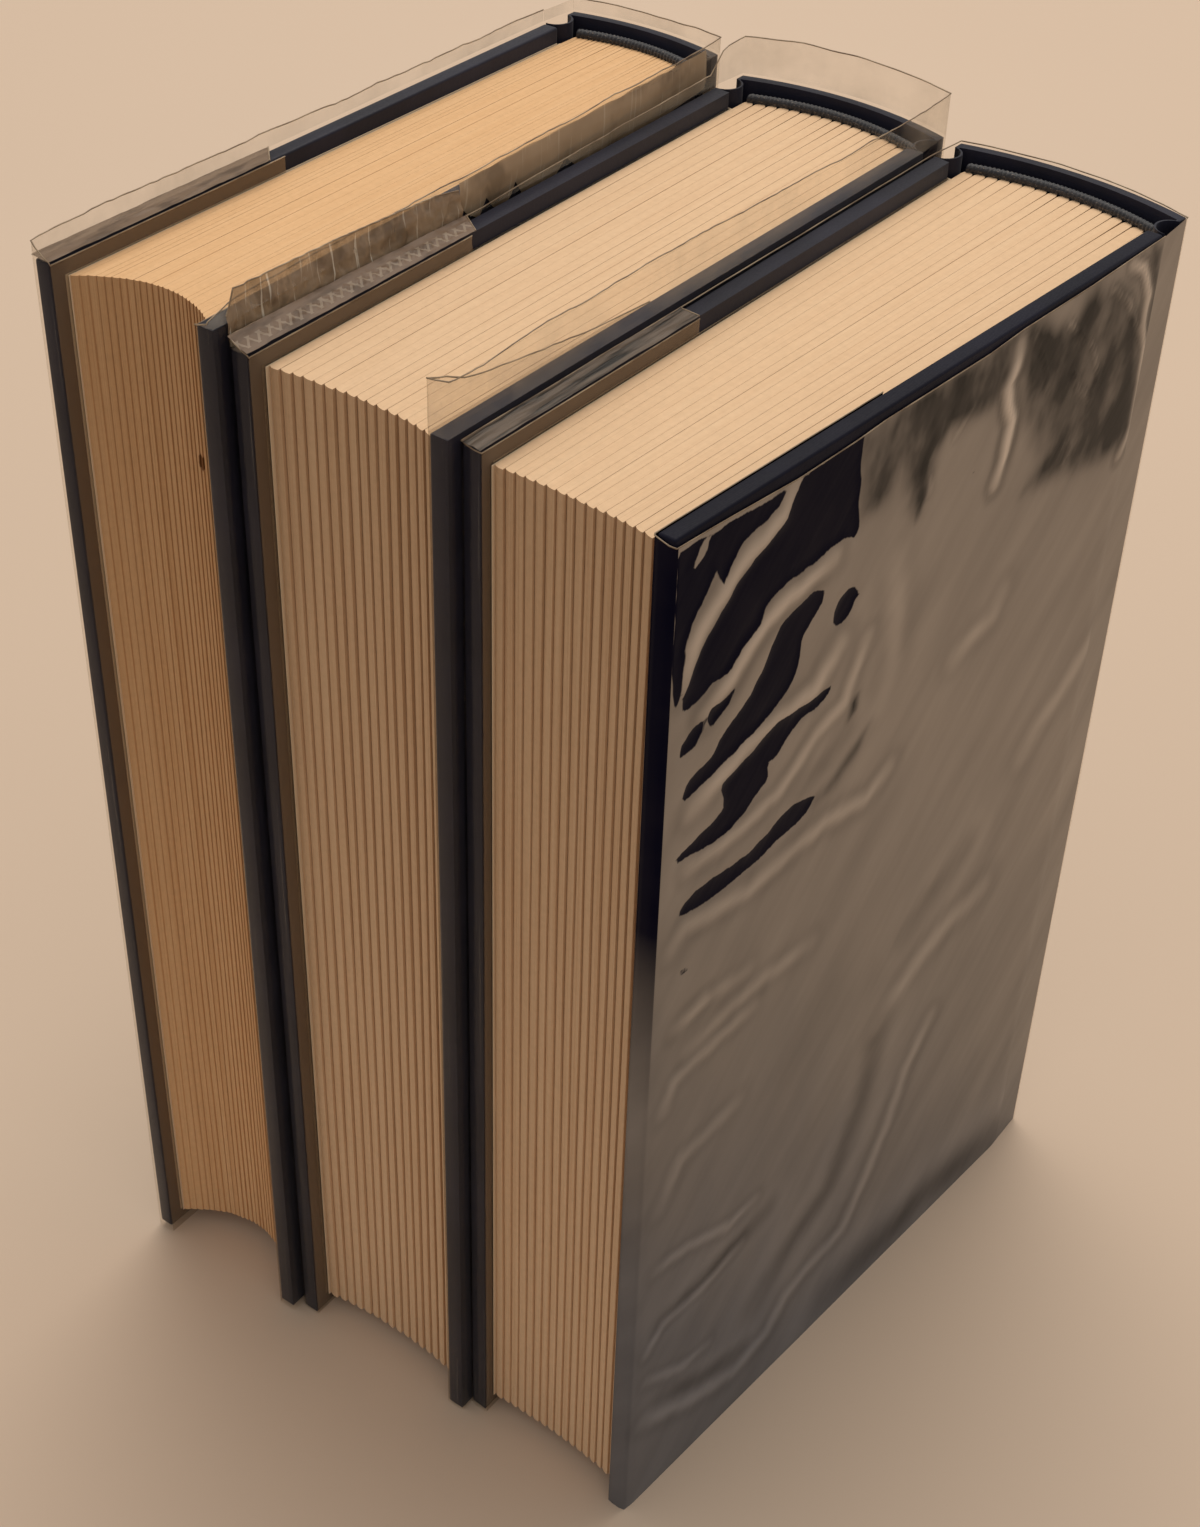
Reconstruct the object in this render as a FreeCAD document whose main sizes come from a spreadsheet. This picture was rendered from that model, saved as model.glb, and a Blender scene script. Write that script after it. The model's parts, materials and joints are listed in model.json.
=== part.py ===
import FreeCAD, Part
import os
import re
import Sketcher
from FreeCAD import Placement, Rotation, Vector

# Three thick hardback books in clear plastic jackets stand in a row.
# X runs along the row, the fore edges of the pages face -Y, the spines face +Y, and +Z is up.
# Sizes are in millimetres. Each book is drawn about its own middle plane, with y = 0 at the fore edge
# of its boards and z = 0 at their foot, and is then set in its place in the row.

SHARED_SIZES = {
    # case
    "board_core": 2.3,
    "cloth_skin": 0.35,
    "board_depth": 121.5,
    "joint_width": 7.9,
    "joint_slit": 0.3,
    "groove_depth": 2.6,
    "lip_width": 2.0,
    "lip_inset": 0.6,
    "inlay_core": 0.9,
    "spine_turn_in": 12.0,
    "turn_radius": 0.3,
    "square": 2.8,
    # text block and what is glued to it
    "shoulder_setback": 4.2,
    "leaf_sheet": 0.15,
    "glue_line": 0.1,
    "lining_sheet": 0.4,
    "seam_width": 0.5,
    "seam_depth": 0.3,
    "band_tail": 9.0,
    "band_rise": 1.6,
    "band_overlap": 0.8,
    "band_stand": 0.6,
    "band_slope": 0.6,
    # jacket
    "film": 0.25,
    "film_air": 0.1,
    "flap_room": 0.5,
    "pocket_depth": 50.0,
    "hinge_stand": 0.15,
}

BOOK_SIZES = {
    "left_book": {
        "fore_width": 35.7,
        "spine_width": 32.6,
        "height": 211.4,
        "lift": 1.2,
        "fore_square": 3.0,
        "fore_hollow": 6.0,
        "spine_bulge": 2.2,
        "signatures": 28,
        "tooth": 0.35,
        "film_rise": 3.0,
        "row_y": -2.5,
        "yaw": 1.14,
    },
    "middle_book": {
        "fore_width": 39.6,
        "spine_width": 42.0,
        "height": 208.9,
        "lift": 0.3,
        "fore_square": 3.0,
        "fore_hollow": 1.5,
        "spine_bulge": 3.6,
        "signatures": 17,
        "tooth": 0.8,
        "film_rise": 8.0,
        "gap_before": 1.1,
        "row_y": 0.3,
        "yaw": 0.53,
    },
    "right_book": {
        "fore_width": 36.1,
        "spine_width": 43.6,
        "height": 207.3,
        "lift": 0.6,
        "fore_square": 1.8,
        "fore_hollow": 0.8,
        "spine_bulge": 3.0,
        "signatures": 17,
        "tooth": 0.7,
        "film_rise": 0.4,
        "gap_before": 0.65,
        "row_y": 2.4,
        "yaw": -1.77,
    },
}

LEFT = -1
RIGHT = 1

# Seen from the fore edges, a book's front cover is on its left.
COVERS = {"front": LEFT, "back": RIGHT}

# The covers that open as the row stands: the outermost cover at each end.
OPENING_COVERS = {("left_book", "front"), ("right_book", "back")}

doc = FreeCAD.newDocument("BookStack")
sheet = doc.addObject("Spreadsheet::Sheet", "Sizes")


def fill_sheet():
    sizes = dict(SHARED_SIZES)
    for book, own in BOOK_SIZES.items():
        sizes.update({f"{book}_{alias}": size for alias, size in own.items()})
    for row, (alias, size) in enumerate(sizes.items(), start=1):
        sheet.set(f"A{row}", alias)
        sheet.set(f"B{row}", str(size))
        sheet.setAlias(f"B{row}", alias)
    doc.recompute()


class Book:
    """One book: its sizes, its place in the row, and the pieces that are made for it."""

    # Distances inward from the cloth's outer face, and along the depth from the boards' fore edge.
    cover = "(board_core + 2*cloth_skin)"
    flyleaf_face = "(board_core + 2*cloth_skin + flap_room)"
    block_face = "(board_core + 2*cloth_skin + flap_room + leaf_sheet)"
    groove_start = "(board_depth + joint_slit)"
    case_depth = "(board_depth + joint_width)"
    groove_end = "(board_depth + joint_width - lip_width)"
    shoulder = "(board_depth + shoulder_setback)"
    lining_face = "(board_depth + shoulder_setback + glue_line)"
    spine_band = "(inlay_core + 2*cloth_skin)"
    inlay_face = "(board_depth + joint_width - cloth_skin - inlay_core)"
    head_edge = "(height - square)"

    def __init__(self, name):
        self.name = name
        self.pieces = []
        self.row_x = 0.0

    def expr(self, text):
        """The text with each size's word turned into its name in the sheet."""
        def full_name(match):
            word = match.group(0)
            if word in BOOK_SIZES[self.name]:
                return f"Sizes.{self.name}_{word}"
            if word in SHARED_SIZES:
                return f"Sizes.{word}"
            return word
        return re.sub(r"[a-z_]+", full_name, str(text))

    def value(self, text):
        return float(sheet.evalExpression(self.expr(text)))

    def x(self, side, inset, depth):
        """Distance from the middle plane of a point inset from the cover's outer face."""
        flare = f"(spine_width - fore_width)/2*({depth})/{self.case_depth}"
        return f"{side}*(fore_width/2 + {flare} - ({inset}))"

    def corners(self, side, path):
        """A path of (inset, depth) or (inset, depth, bulge) as sketch corners on one side."""
        return [(self.x(side, step[0], step[1]), *step[1:]) for step in path]

    def returned(self, side, path, first_bulge):
        """The same path on the given side, walked back. A bulge belongs to the corner it leads to."""
        bulges = [step[2] if len(step) > 2 else None for step in path[1:]] + [first_bulge]
        back = []
        for step, bulge in zip(reversed(path), reversed(bulges)):
            back.append((self.x(side, step[0], step[1]), step[1]) + ((bulge,) if bulge else ()))
        return back

    def band(self, inner, outer):
        """Outline of a sheet that runs round the spine: inner and outer map each side to its path."""
        return (
            self.corners(LEFT, inner[LEFT])
            + self.returned(RIGHT, inner[RIGHT], "-spine_bulge")
            + self.corners(RIGHT, outer[RIGHT])
            + self.returned(LEFT, outer[LEFT], "spine_bulge")
        )

    def new_body(self, label):
        body = doc.addObject("PartDesign::Body", f"{self.name}_{label}")
        body.Label = f"{self.name}_{label}"
        self.pieces.append(body)
        return body

    def new_sketch(self, body, label, role, offset):
        sketch = body.newObject("Sketcher::SketchObject", f"{body.Name}_{label}")
        plane = next(item for item in body.Origin.OriginFeatures if item.Role == role)
        sketch.AttachmentSupport = [(plane, "")]
        sketch.MapMode = "FlatFace"
        sketch.setExpression("AttachmentOffset.Base.z", self.expr(offset))
        return sketch

    def outline(self, body, label, corners, offset="0", role="XY_Plane"):
        """A sketch of closed lines and arcs. A corner's bulge is the rise of the arc that leads to it,
        to the right of the way that the outline runs."""
        sketch = self.new_sketch(body, label, role, offset)
        self.draw_loop(sketch, corners)
        return sketch

    def draw_loop(self, sketch, corners):
        points = [Vector(self.value(corner[0]), self.value(corner[1]), 0) for corner in corners]
        count = len(corners)
        starts = []
        radii = []
        for index in range(count):
            begin = points[index]
            end = points[(index + 1) % count]
            target = corners[(index + 1) % count]
            if len(target) > 2:
                chord = end - begin
                right = Vector(chord.y, -chord.x, 0).normalize()
                top = (begin + end) * 0.5 + right * self.value(target[2])
                edge = sketch.addGeometry(Part.Arc(begin, top, end))
                dx = f"(({target[0]}) - ({corners[index][0]}))"
                dy = f"(({target[1]}) - ({corners[index][1]}))"
                rise = f"abs({target[2]})"
                radii.append((edge, f"({dx}*{dx} + {dy}*{dy})/(8*{rise}) + {rise}/2"))
                runs_forward = self.value(target[2]) > 0
            else:
                edge = sketch.addGeometry(Part.LineSegment(begin, end))
                runs_forward = True
            starts.append((edge, 1 if runs_forward else 2))
        for index in range(count):
            edge, start = starts[index]
            next_edge, next_start = starts[(index + 1) % count]
            sketch.addConstraint(Sketcher.Constraint("Coincident", edge, 3 - start, next_edge, next_start))
        for (edge, start), corner, point in zip(starts, corners, points):
            for kind, size, text in (("DistanceX", point.x, corner[0]), ("DistanceY", point.y, corner[1])):
                number = sketch.addConstraint(Sketcher.Constraint(kind, -1, 1, edge, start, size))
                sketch.setExpression(f"Constraints[{number}]", self.expr(text))
        for edge, text in radii:
            number = sketch.addConstraint(Sketcher.Constraint("Radius", edge, self.value(text)))
            sketch.setExpression(f"Constraints[{number}]", self.expr(text))

    def pad(self, body, sketch, length):
        feature = body.newObject("PartDesign::Pad", f"{sketch.Name}_pad")
        feature.Profile = sketch
        feature.setExpression("Length", self.expr(length))
        sketch.Visibility = False
        return feature

    def pocket(self, body, sketch, length):
        """A pocket from the sketch's plane downwards."""
        feature = body.newObject("PartDesign::Pocket", f"{sketch.Name}_pocket")
        feature.Profile = sketch
        feature.setExpression("Length", self.expr(length))
        return feature

    def plate(self, label, side, inset, thickness, start, end, foot, head):
        """A flat sheet or board that lies along one side of the book."""
        body = self.new_body(label)
        self.pad(body, self.outline(body, "plan", self.strip(side, inset, thickness, start, end), foot),
                 f"({head}) - ({foot})")
        return body

    def strip(self, side, inset, thickness, start, end):
        far = f"({inset}) + ({thickness})"
        return self.corners(side, [(inset, start), (far, start), (far, end), (inset, end)])

    def opens(self, cover_name):
        return (self.name, cover_name) in OPENING_COVERS

    def make_text_block(self):
        """Folded signatures: stepped or hollow at the fore edge, rounded at the spine."""
        body = self.new_body("text_block")
        signatures = int(self.value("signatures"))
        fore_edge = []
        for number in range(signatures):
            for across, step in ((number, "tooth"), (number + 1, "0")):
                share = f"(2*{across}/signatures - 1)"
                depth = f"(fore_square + fore_hollow*(1 - {share}*{share}) + {step})"
                fore_edge.append((f"{share}*{self.x(RIGHT, self.block_face, depth)}", depth))
        spine = [
            (self.x(RIGHT, self.block_face, self.shoulder), self.shoulder),
            (self.x(LEFT, self.block_face, self.shoulder), self.shoulder, "spine_bulge"),
        ]
        plan = self.outline(body, "plan", fore_edge + spine, "square")
        solid = self.pad(body, plan, "height - 2*square")
        doc.recompute()
        plain_volume = solid.Shape.Volume

        seams = self.new_sketch(body, "seams", "XZ_Plane", "0")
        spacing = f"(2*{self.x(RIGHT, self.block_face, 'fore_square')}/signatures)"
        first_seam = f"({spacing} - {self.x(RIGHT, self.block_face, 'fore_square')})"
        for face, way in ((self.head_edge, "-1"), ("square", "1")):
            overcut = f"{face} - {way}*seam_depth"
            self.draw_loop(seams, [
                (f"{first_seam} - seam_width", overcut),
                (f"{first_seam} + seam_width", overcut),
                (first_seam, f"{face} + {way}*seam_depth"),
            ])
        cut = body.newObject("PartDesign::Pocket", f"{body.Name}_seam")
        cut.Profile = seams
        cut.Type = "ThroughAll"
        pattern = body.newObject("PartDesign::LinearPattern", f"{body.Name}_all_seams")
        pattern.Originals = [cut]
        pattern.Direction = (seams, ["H_Axis"])
        pattern.Occurrences = signatures - 1
        pattern.setExpression("Length", self.expr(f"{spacing}*{signatures - 2}"))
        body.Tip = pattern
        doc.recompute()
        if not pattern.Shape.Volume < plain_volume:
            raise RuntimeError(f"{body.Label}: the seams cut nothing")

    def make_spine_lining(self):
        body = self.new_body("spine_lining")
        foot = "(square + band_tail)"
        head = f"({self.head_edge} - band_tail)"
        plan = self.outline(body, "plan", self.spine_arc_band(self.block_face, self.lining_face, "lining_sheet"),
                            foot)
        self.pad(body, plan, f"{head} - {foot}")

    def spine_arc_band(self, inset, depth, thickness):
        """A band of even depth that follows the rounded spine."""
        inner = {side: [(inset, depth)] for side in (LEFT, RIGHT)}
        outer = {side: [(inset, f"({depth}) + ({thickness})")] for side in (LEFT, RIGHT)}
        return self.band(inner, outer)

    def make_band(self, label, strip_foot, bead_foot, rim_level):
        """Head or tail band: a cloth strip glued to the spine, with a rolled bead on the block's edge."""
        body = self.new_body(label)
        strip = self.outline(body, "strip", self.spine_arc_band(self.block_face, self.lining_face, "lining_sheet"),
                             strip_foot)
        self.pad(body, strip, "band_tail")
        bead_start = f"({self.lining_face} - band_overlap)"
        bead_width = "(band_overlap + lining_sheet + band_stand)"
        bead = self.outline(body, "bead", self.spine_arc_band(self.block_face, bead_start, bead_width), bead_foot)
        solid = self.pad(body, bead, "band_rise")
        doc.recompute()
        level = self.value(rim_level)
        rims = [
            f"Edge{number}"
            for number, edge in enumerate(solid.Shape.Edges, start=1)
            if all(abs(vertex.Z - level) < 1e-4 for vertex in edge.Vertexes) and edge.Length > 5
        ]
        slopes = body.newObject("PartDesign::Chamfer", f"{body.Name}_slopes")
        slopes.Base = (solid, rims)
        slopes.setExpression("Size", self.expr("band_slope"))
        body.Tip = slopes

    def make_board(self, cover_name, side):
        self.plate(f"{cover_name}_board", side, "cloth_skin", "board_core", "cloth_skin", "board_depth",
                   "cloth_skin", "height - cloth_skin")

    def make_endpaper(self, cover_name, side):
        """Pastedown and flyleaf: one folded sheet, or two where the cover opens."""
        pastedown = f"{self.cover} - cloth_skin"
        if self.opens(cover_name):
            self.plate(f"{cover_name}_pastedown", side, pastedown, "cloth_skin", "square", "board_depth",
                       "square", self.head_edge)
            self.plate(f"{cover_name}_flyleaf", side, self.flyleaf_face, "leaf_sheet", "fore_square",
                       "board_depth", "square", self.head_edge)
            return
        body = self.new_body(f"{cover_name}_endpaper")
        fold = "(board_depth + leaf_sheet)"
        plan = self.outline(body, "plan", self.corners(side, [
            (pastedown, "square"),
            (pastedown, fold),
            (self.block_face, fold),
            (self.block_face, "fore_square"),
            (self.flyleaf_face, "fore_square"),
            (self.flyleaf_face, "board_depth"),
            (self.cover, "board_depth"),
            (self.cover, "square"),
        ]), "square")
        self.pad(body, plan, f"{self.head_edge} - square")

    def hollow_cover_cloth(self, body, cover_name, side):
        """Takes out of a cover's cloth the room for its board and the window inside the turn-ins."""
        room = self.strip(side, "cloth_skin", "board_core", "cloth_skin", "board_depth")
        self.pocket(body, self.outline(body, f"{cover_name}_room", room, "height - cloth_skin"),
                    "height - 2*cloth_skin")
        window = self.strip(side, f"{self.cover} - cloth_skin", "cloth_skin", "square", "board_depth")
        self.pocket(body, self.outline(body, f"{cover_name}_window", window, self.head_edge),
                    f"{self.head_edge} - square")

    def round_fore_edges(self, body):
        """Rounds the cloth where it turns over the boards' fore edges."""
        doc.recompute()
        solid = body.Tip
        turned = [
            f"Edge{number}"
            for number, edge in enumerate(solid.Shape.Edges, start=1)
            if all(abs(vertex.Y) < 1e-4 for vertex in edge.Vertexes) and edge.BoundBox.ZLength > 1
        ]
        rounding = body.newObject("PartDesign::Fillet", f"{body.Name}_turned_edges")
        rounding.Base = (solid, turned)
        rounding.setExpression("Radius", self.expr("turn_radius"))
        body.Tip = rounding

    def make_cover_cloth(self, cover_name, side):
        """The cloth of a cover that opens, cut from the rest of the case at the joint."""
        body = self.plate(f"{cover_name}_cover_cloth", side, "0", self.cover, "0", "board_depth", "0", "height")
        self.round_fore_edges(body)
        self.hollow_cover_cloth(body, cover_name, side)

    def make_case_cloth(self):
        """Cloth over boards and spine, with a groove at each joint and a hollow for the spine inlay."""
        body = self.new_body("case_cloth")
        lip_inner = "(lip_inset + 2*cloth_skin)"
        inner_groove = [
            ("2*cloth_skin", self.groove_start),
            (lip_inner, self.groove_end, "groove_depth - cloth_skin"),
            (lip_inner, f"({self.case_depth} - {self.spine_band})"),
        ]
        outer_groove = [
            ("0", self.groove_start),
            ("lip_inset", self.groove_end, "-groove_depth"),
            ("lip_inset", self.case_depth),
        ]
        inner_cover = [(self.cover, "0"), (self.cover, "board_depth"), ("2*cloth_skin", "board_depth")]
        outer_cover = [("0", "0")]
        inner = {}
        outer = {}
        for cover_name, side in COVERS.items():
            closed = not self.opens(cover_name)
            inner[side] = (inner_cover if closed else []) + inner_groove
            outer[side] = (outer_cover if closed else []) + outer_groove
        self.pad(body, self.outline(body, "plan", self.band(inner, outer)), "height")
        self.round_fore_edges(body)
        for cover_name, side in COVERS.items():
            if not self.opens(cover_name):
                self.hollow_cover_cloth(body, cover_name, side)
        inlay_room = self.spine_arc_band(lip_inner, self.inlay_face, "inlay_core")
        self.pocket(body, self.outline(body, "inlay_room", inlay_room, "height - cloth_skin"),
                    "height - 2*cloth_skin")
        window = self.spine_arc_band(lip_inner, f"({self.case_depth} - {self.spine_band})", "cloth_skin")
        self.pocket(body, self.outline(body, "inlay_window", window, "height - spine_turn_in"),
                    "height - 2*spine_turn_in")

    def make_spine_inlay(self):
        body = self.new_body("spine_inlay")
        room = self.spine_arc_band("(lip_inset + 2*cloth_skin)", self.inlay_face, "inlay_core")
        self.pad(body, self.outline(body, "plan", room, "cloth_skin"), "height - 2*cloth_skin")

    def weld_pockets(self, body, cover_name, side):
        """The weld lines that close a board's pocket over the board's head and under its foot."""
        weld = self.strip(side, "-film/2", f"{self.cover} + film", "-film/2", "pocket_depth")
        for level_name, level in (("head", "(height + film_air)"), ("foot", "-lift")):
            sketch = self.outline(body, f"{cover_name}_{level_name}_weld", weld, level)
            self.pad(body, sketch, "film")

    def make_jacket(self):
        """Clear film: a flap inside each cover, round the fore edge, over the joint and the spine."""
        body = self.new_body("jacket")
        flap = [(self.cover, "pocket_depth"), (self.cover, "0"), ("0", "0")]
        film_flap = [(f"{self.cover} + film", "pocket_depth"), (f"{self.cover} + film", "-film"), ("-film", "-film")]
        near_face = [("0", self.groove_start), ("lip_inset - film_air", f"({self.case_depth} + film_air)")]
        far_face = [
            ("-film", self.groove_start),
            ("lip_inset - film_air - film", f"({self.case_depth} + film_air + film)"),
        ]
        near = {}
        far = {}
        for cover_name, side in COVERS.items():
            closed = not self.opens(cover_name)
            near[side] = (flap if closed else []) + near_face
            far[side] = (film_flap if closed else []) + far_face
        self.pad(body, self.outline(body, "plan", self.band(near, far), "-lift"), "height + lift + film_rise")
        for cover_name, side in COVERS.items():
            if not self.opens(cover_name):
                self.weld_pockets(body, cover_name, side)

    def make_jacket_panel(self, cover_name, side):
        """The jacket's part on a cover that opens: flap, fore edge and outer face."""
        body = self.new_body(f"{cover_name}_jacket_panel")
        path = [
            (self.cover, "pocket_depth"),
            (self.cover, "0"),
            ("0", "0"),
            ("0", "board_depth"),
            ("-film", "board_depth"),
            ("-film", "-film"),
            (f"{self.cover} + film", "-film"),
            (f"{self.cover} + film", "pocket_depth"),
        ]
        self.pad(body, self.outline(body, "plan", self.corners(side, path), "-lift"), "height + lift + film_rise")
        self.weld_pockets(body, cover_name, side)

    def make(self):
        self.make_text_block()
        self.make_spine_lining()
        self.make_band("head_band", f"{self.head_edge} - band_tail", self.head_edge, f"{self.head_edge} + band_rise")
        self.make_band("tail_band", "square", "square - band_rise", "square - band_rise")
        for cover_name, side in COVERS.items():
            self.make_board(cover_name, side)
            self.make_endpaper(cover_name, side)
            if self.opens(cover_name):
                self.make_cover_cloth(cover_name, side)
                self.make_jacket_panel(cover_name, side)
        self.make_spine_inlay()
        self.make_case_cloth()
        self.make_jacket()

    def reach(self, side, depth):
        """How far the outer face is along the row from the book's own place, turned as it stands."""
        edge = Vector(self.value(self.x(side, "0", depth)), self.value(depth), 0)
        return Rotation(Vector(0, 0, 1), self.value("yaw")).multVec(edge).x

    def stand_beside(self, before):
        """Leaves the named gap at whichever end the two books come nearest."""
        ends = ("0", self.case_depth)
        touching = max(before.reach(RIGHT, end) - self.reach(LEFT, end) for end in ends)
        self.row_x = before.row_x + touching + self.value("gap_before")

    def place(self, shift):
        spot = Vector(self.row_x, self.value("row_y"), self.value("lift")) + shift
        turn = Rotation(Vector(0, 0, 1), self.value("yaw"))
        for body in self.pieces:
            body.Placement = Placement(spot, turn)

    def print_hinge(self, cover_name, side):
        depth = f"({self.groove_start} + board_depth)/2"
        edge = self.x(side, "-film - hinge_stand", depth)
        point = self.pieces[0].Placement.multVec(Vector(self.value(edge), self.value(depth), self.value("height/2")))
        print(f"{self.name} {cover_name} hinge: {point.x:.3f}, {point.y:.3f}, {point.z:.3f}")


def whole_box(books):
    box = FreeCAD.BoundBox()
    for book in books:
        for body in book.pieces:
            box.add(body.Shape.BoundBox)
    return box


def check_and_export(books):
    for item in doc.Objects:
        if "Invalid" in item.State or "Error" in item.State:
            raise RuntimeError(f"{item.Label} failed: {item.State}")
    os.makedirs("parts", exist_ok=True)
    bodies = [body for book in books for body in book.pieces]
    for body in bodies:
        shape = body.Shape
        if shape.isNull() or not shape.isValid() or len(shape.Solids) != 1:
            raise RuntimeError(f"{body.Label} is not one valid solid")
    for body in bodies:
        body.Shape.exportStep(f"parts/{body.Label}.step")


fill_sheet()
row_of_books = [Book(name) for name in BOOK_SIZES]
for before, book in zip(row_of_books, row_of_books[1:]):
    book.stand_beside(before)
for book in row_of_books:
    book.make()
    book.place(Vector(0, 0, 0))
doc.recompute()

# The origin is at the middle of the row's footprint, on the surface that the books stand on.
row_box = whole_box(row_of_books)
for book in row_of_books:
    book.place(Vector(-row_box.Center.x, -row_box.Center.y, -row_box.ZMin))
doc.recompute()
check_and_export(row_of_books)
for book in row_of_books:
    for name, cover_side in COVERS.items():
        if book.opens(name):
            book.print_hinge(name, cover_side)
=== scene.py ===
import json
import math

import bpy
from mathutils import Matrix, Vector, noise


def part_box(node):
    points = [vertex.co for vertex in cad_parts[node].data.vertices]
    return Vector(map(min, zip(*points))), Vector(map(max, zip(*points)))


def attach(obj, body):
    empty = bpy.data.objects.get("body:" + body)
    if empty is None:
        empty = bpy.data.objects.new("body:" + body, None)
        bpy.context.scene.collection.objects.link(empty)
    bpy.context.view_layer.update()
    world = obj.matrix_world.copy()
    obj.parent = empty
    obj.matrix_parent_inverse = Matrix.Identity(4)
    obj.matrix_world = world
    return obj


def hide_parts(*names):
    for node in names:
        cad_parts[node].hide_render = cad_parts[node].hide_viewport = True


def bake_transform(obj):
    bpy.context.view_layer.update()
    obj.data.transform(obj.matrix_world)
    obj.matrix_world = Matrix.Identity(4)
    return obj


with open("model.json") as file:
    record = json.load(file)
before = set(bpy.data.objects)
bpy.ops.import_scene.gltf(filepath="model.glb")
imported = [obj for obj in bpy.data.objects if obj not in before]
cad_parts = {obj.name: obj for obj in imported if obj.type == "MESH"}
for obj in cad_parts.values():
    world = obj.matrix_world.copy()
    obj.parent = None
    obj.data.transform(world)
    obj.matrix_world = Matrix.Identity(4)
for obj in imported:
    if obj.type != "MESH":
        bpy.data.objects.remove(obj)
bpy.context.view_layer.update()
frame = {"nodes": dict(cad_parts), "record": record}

# Lengths are in millimetres unless a name or comment says otherwise, and MM turns them into metres.
MM = 0.001
LEFT = -1
RIGHT = 1

# The case, as the CAD model has it.
BOARD_CORE = 2.3
SKIN = 0.35
COVER = BOARD_CORE + 2 * SKIN
BOARD_DEPTH = 121.5
JOINT_WIDTH = 7.9
CASE_DEPTH = BOARD_DEPTH + JOINT_WIDTH
GROOVE_DEPTH = 2.6
LIP_WIDTH = 2.0
LIP_INSET = 0.6
SPINE_BAND = 1.6
SQUARE = 2.8
SHOULDER = BOARD_DEPTH + 4.2
FLYLEAF_FACE = COVER + 0.5
BLOCK_FACE = FLYLEAF_FACE + 0.15
POCKET_DEPTH = 50.0

# Places along a jacket's sheet, from its fore corner: where the flap starts, and the fore bend's two ends.
FLAP_AT = -10
BEND_AT = -4
CORNER_AT = -1

BOOKS = {
    "left_book": {
        "signatures": 28, "leaves": 8, "fore_square": 3.0, "fore_hollow": 6.0, "spine_bulge": 2.2,
        "tooth": 0.35, "looseness": 0.5, "seed": 3.0,
    },
    "middle_book": {
        "signatures": 17, "leaves": 12, "fore_square": 3.0, "fore_hollow": 1.5, "spine_bulge": 3.6,
        "tooth": 0.8, "looseness": 1.0, "seed": 11.0,
    },
    "right_book": {
        "signatures": 17, "leaves": 12, "fore_square": 1.8, "fore_hollow": 0.8, "spine_bulge": 3.0,
        "tooth": 0.7, "looseness": 1.0, "seed": 23.0,
    },
}


class Cover:
    """The plan of one cover, read from its board in the frame: origin at the cloth's outer fore corner."""

    def __init__(self, board, side):
        corners = {(round(v.co.x, 4), round(v.co.y, 4)): (v.co.x, v.co.y) for v in board.data.vertices}
        ordered = sorted(corners.values(), key=lambda corner: corner[1])
        fore_outer, fore_inner = sorted(ordered[:2], key=lambda corner: -side * corner[0])
        spine_outer = max(ordered[2:], key=lambda corner: side * corner[0])
        self.inward = (Vector(fore_inner) - Vector(fore_outer)) / BOARD_CORE
        self.along = (Vector(spine_outer) - Vector(fore_outer)) / (BOARD_DEPTH - SKIN)
        self.origin = Vector(fore_outer) - (self.inward + self.along) * SKIN

    def plan(self, inset, depth):
        return self.origin + self.inward * inset + self.along * depth


class Book:
    def __init__(self, name, sizes):
        self.name = name
        self.__dict__.update(sizes)
        nodes = frame["nodes"]
        self.covers = {
            LEFT: Cover(nodes[f"{name}_front_board"], LEFT),
            RIGHT: Cover(nodes[f"{name}_back_board"], RIGHT),
        }
        low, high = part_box(f"{name}_front_board")
        self.foot = low.z / MM - SKIN
        self.head = high.z / MM + SKIN
        self.block_foot = self.foot + SQUARE
        self.block_head = self.head - SQUARE

    def point(self, side, inset, depth, level):
        flat = self.covers[side].plan(inset, depth)
        return Vector((flat.x, flat.y, level * MM))

    def across(self, share, inset, depth, level):
        """A point between the two covers: share 0 is inset from the left cover's face, 1 from the right's."""
        return self.point(LEFT, inset, depth, level).lerp(self.point(RIGHT, inset, depth, level), share)

    def spine_depth(self, share, corner_depth):
        return corner_depth + self.spine_bulge * (1 - (2 * share - 1) ** 2)

    def fore_depth(self, share):
        return self.fore_square + self.fore_hollow * (1 - (2 * share - 1) ** 2)

    def width(self, inset, depth):
        span = self.covers[RIGHT].plan(inset, depth) - self.covers[LEFT].plan(inset, depth)
        return span.length / MM


books = {name: Book(name, sizes) for name, sizes in BOOKS.items()}


# Materials

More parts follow.
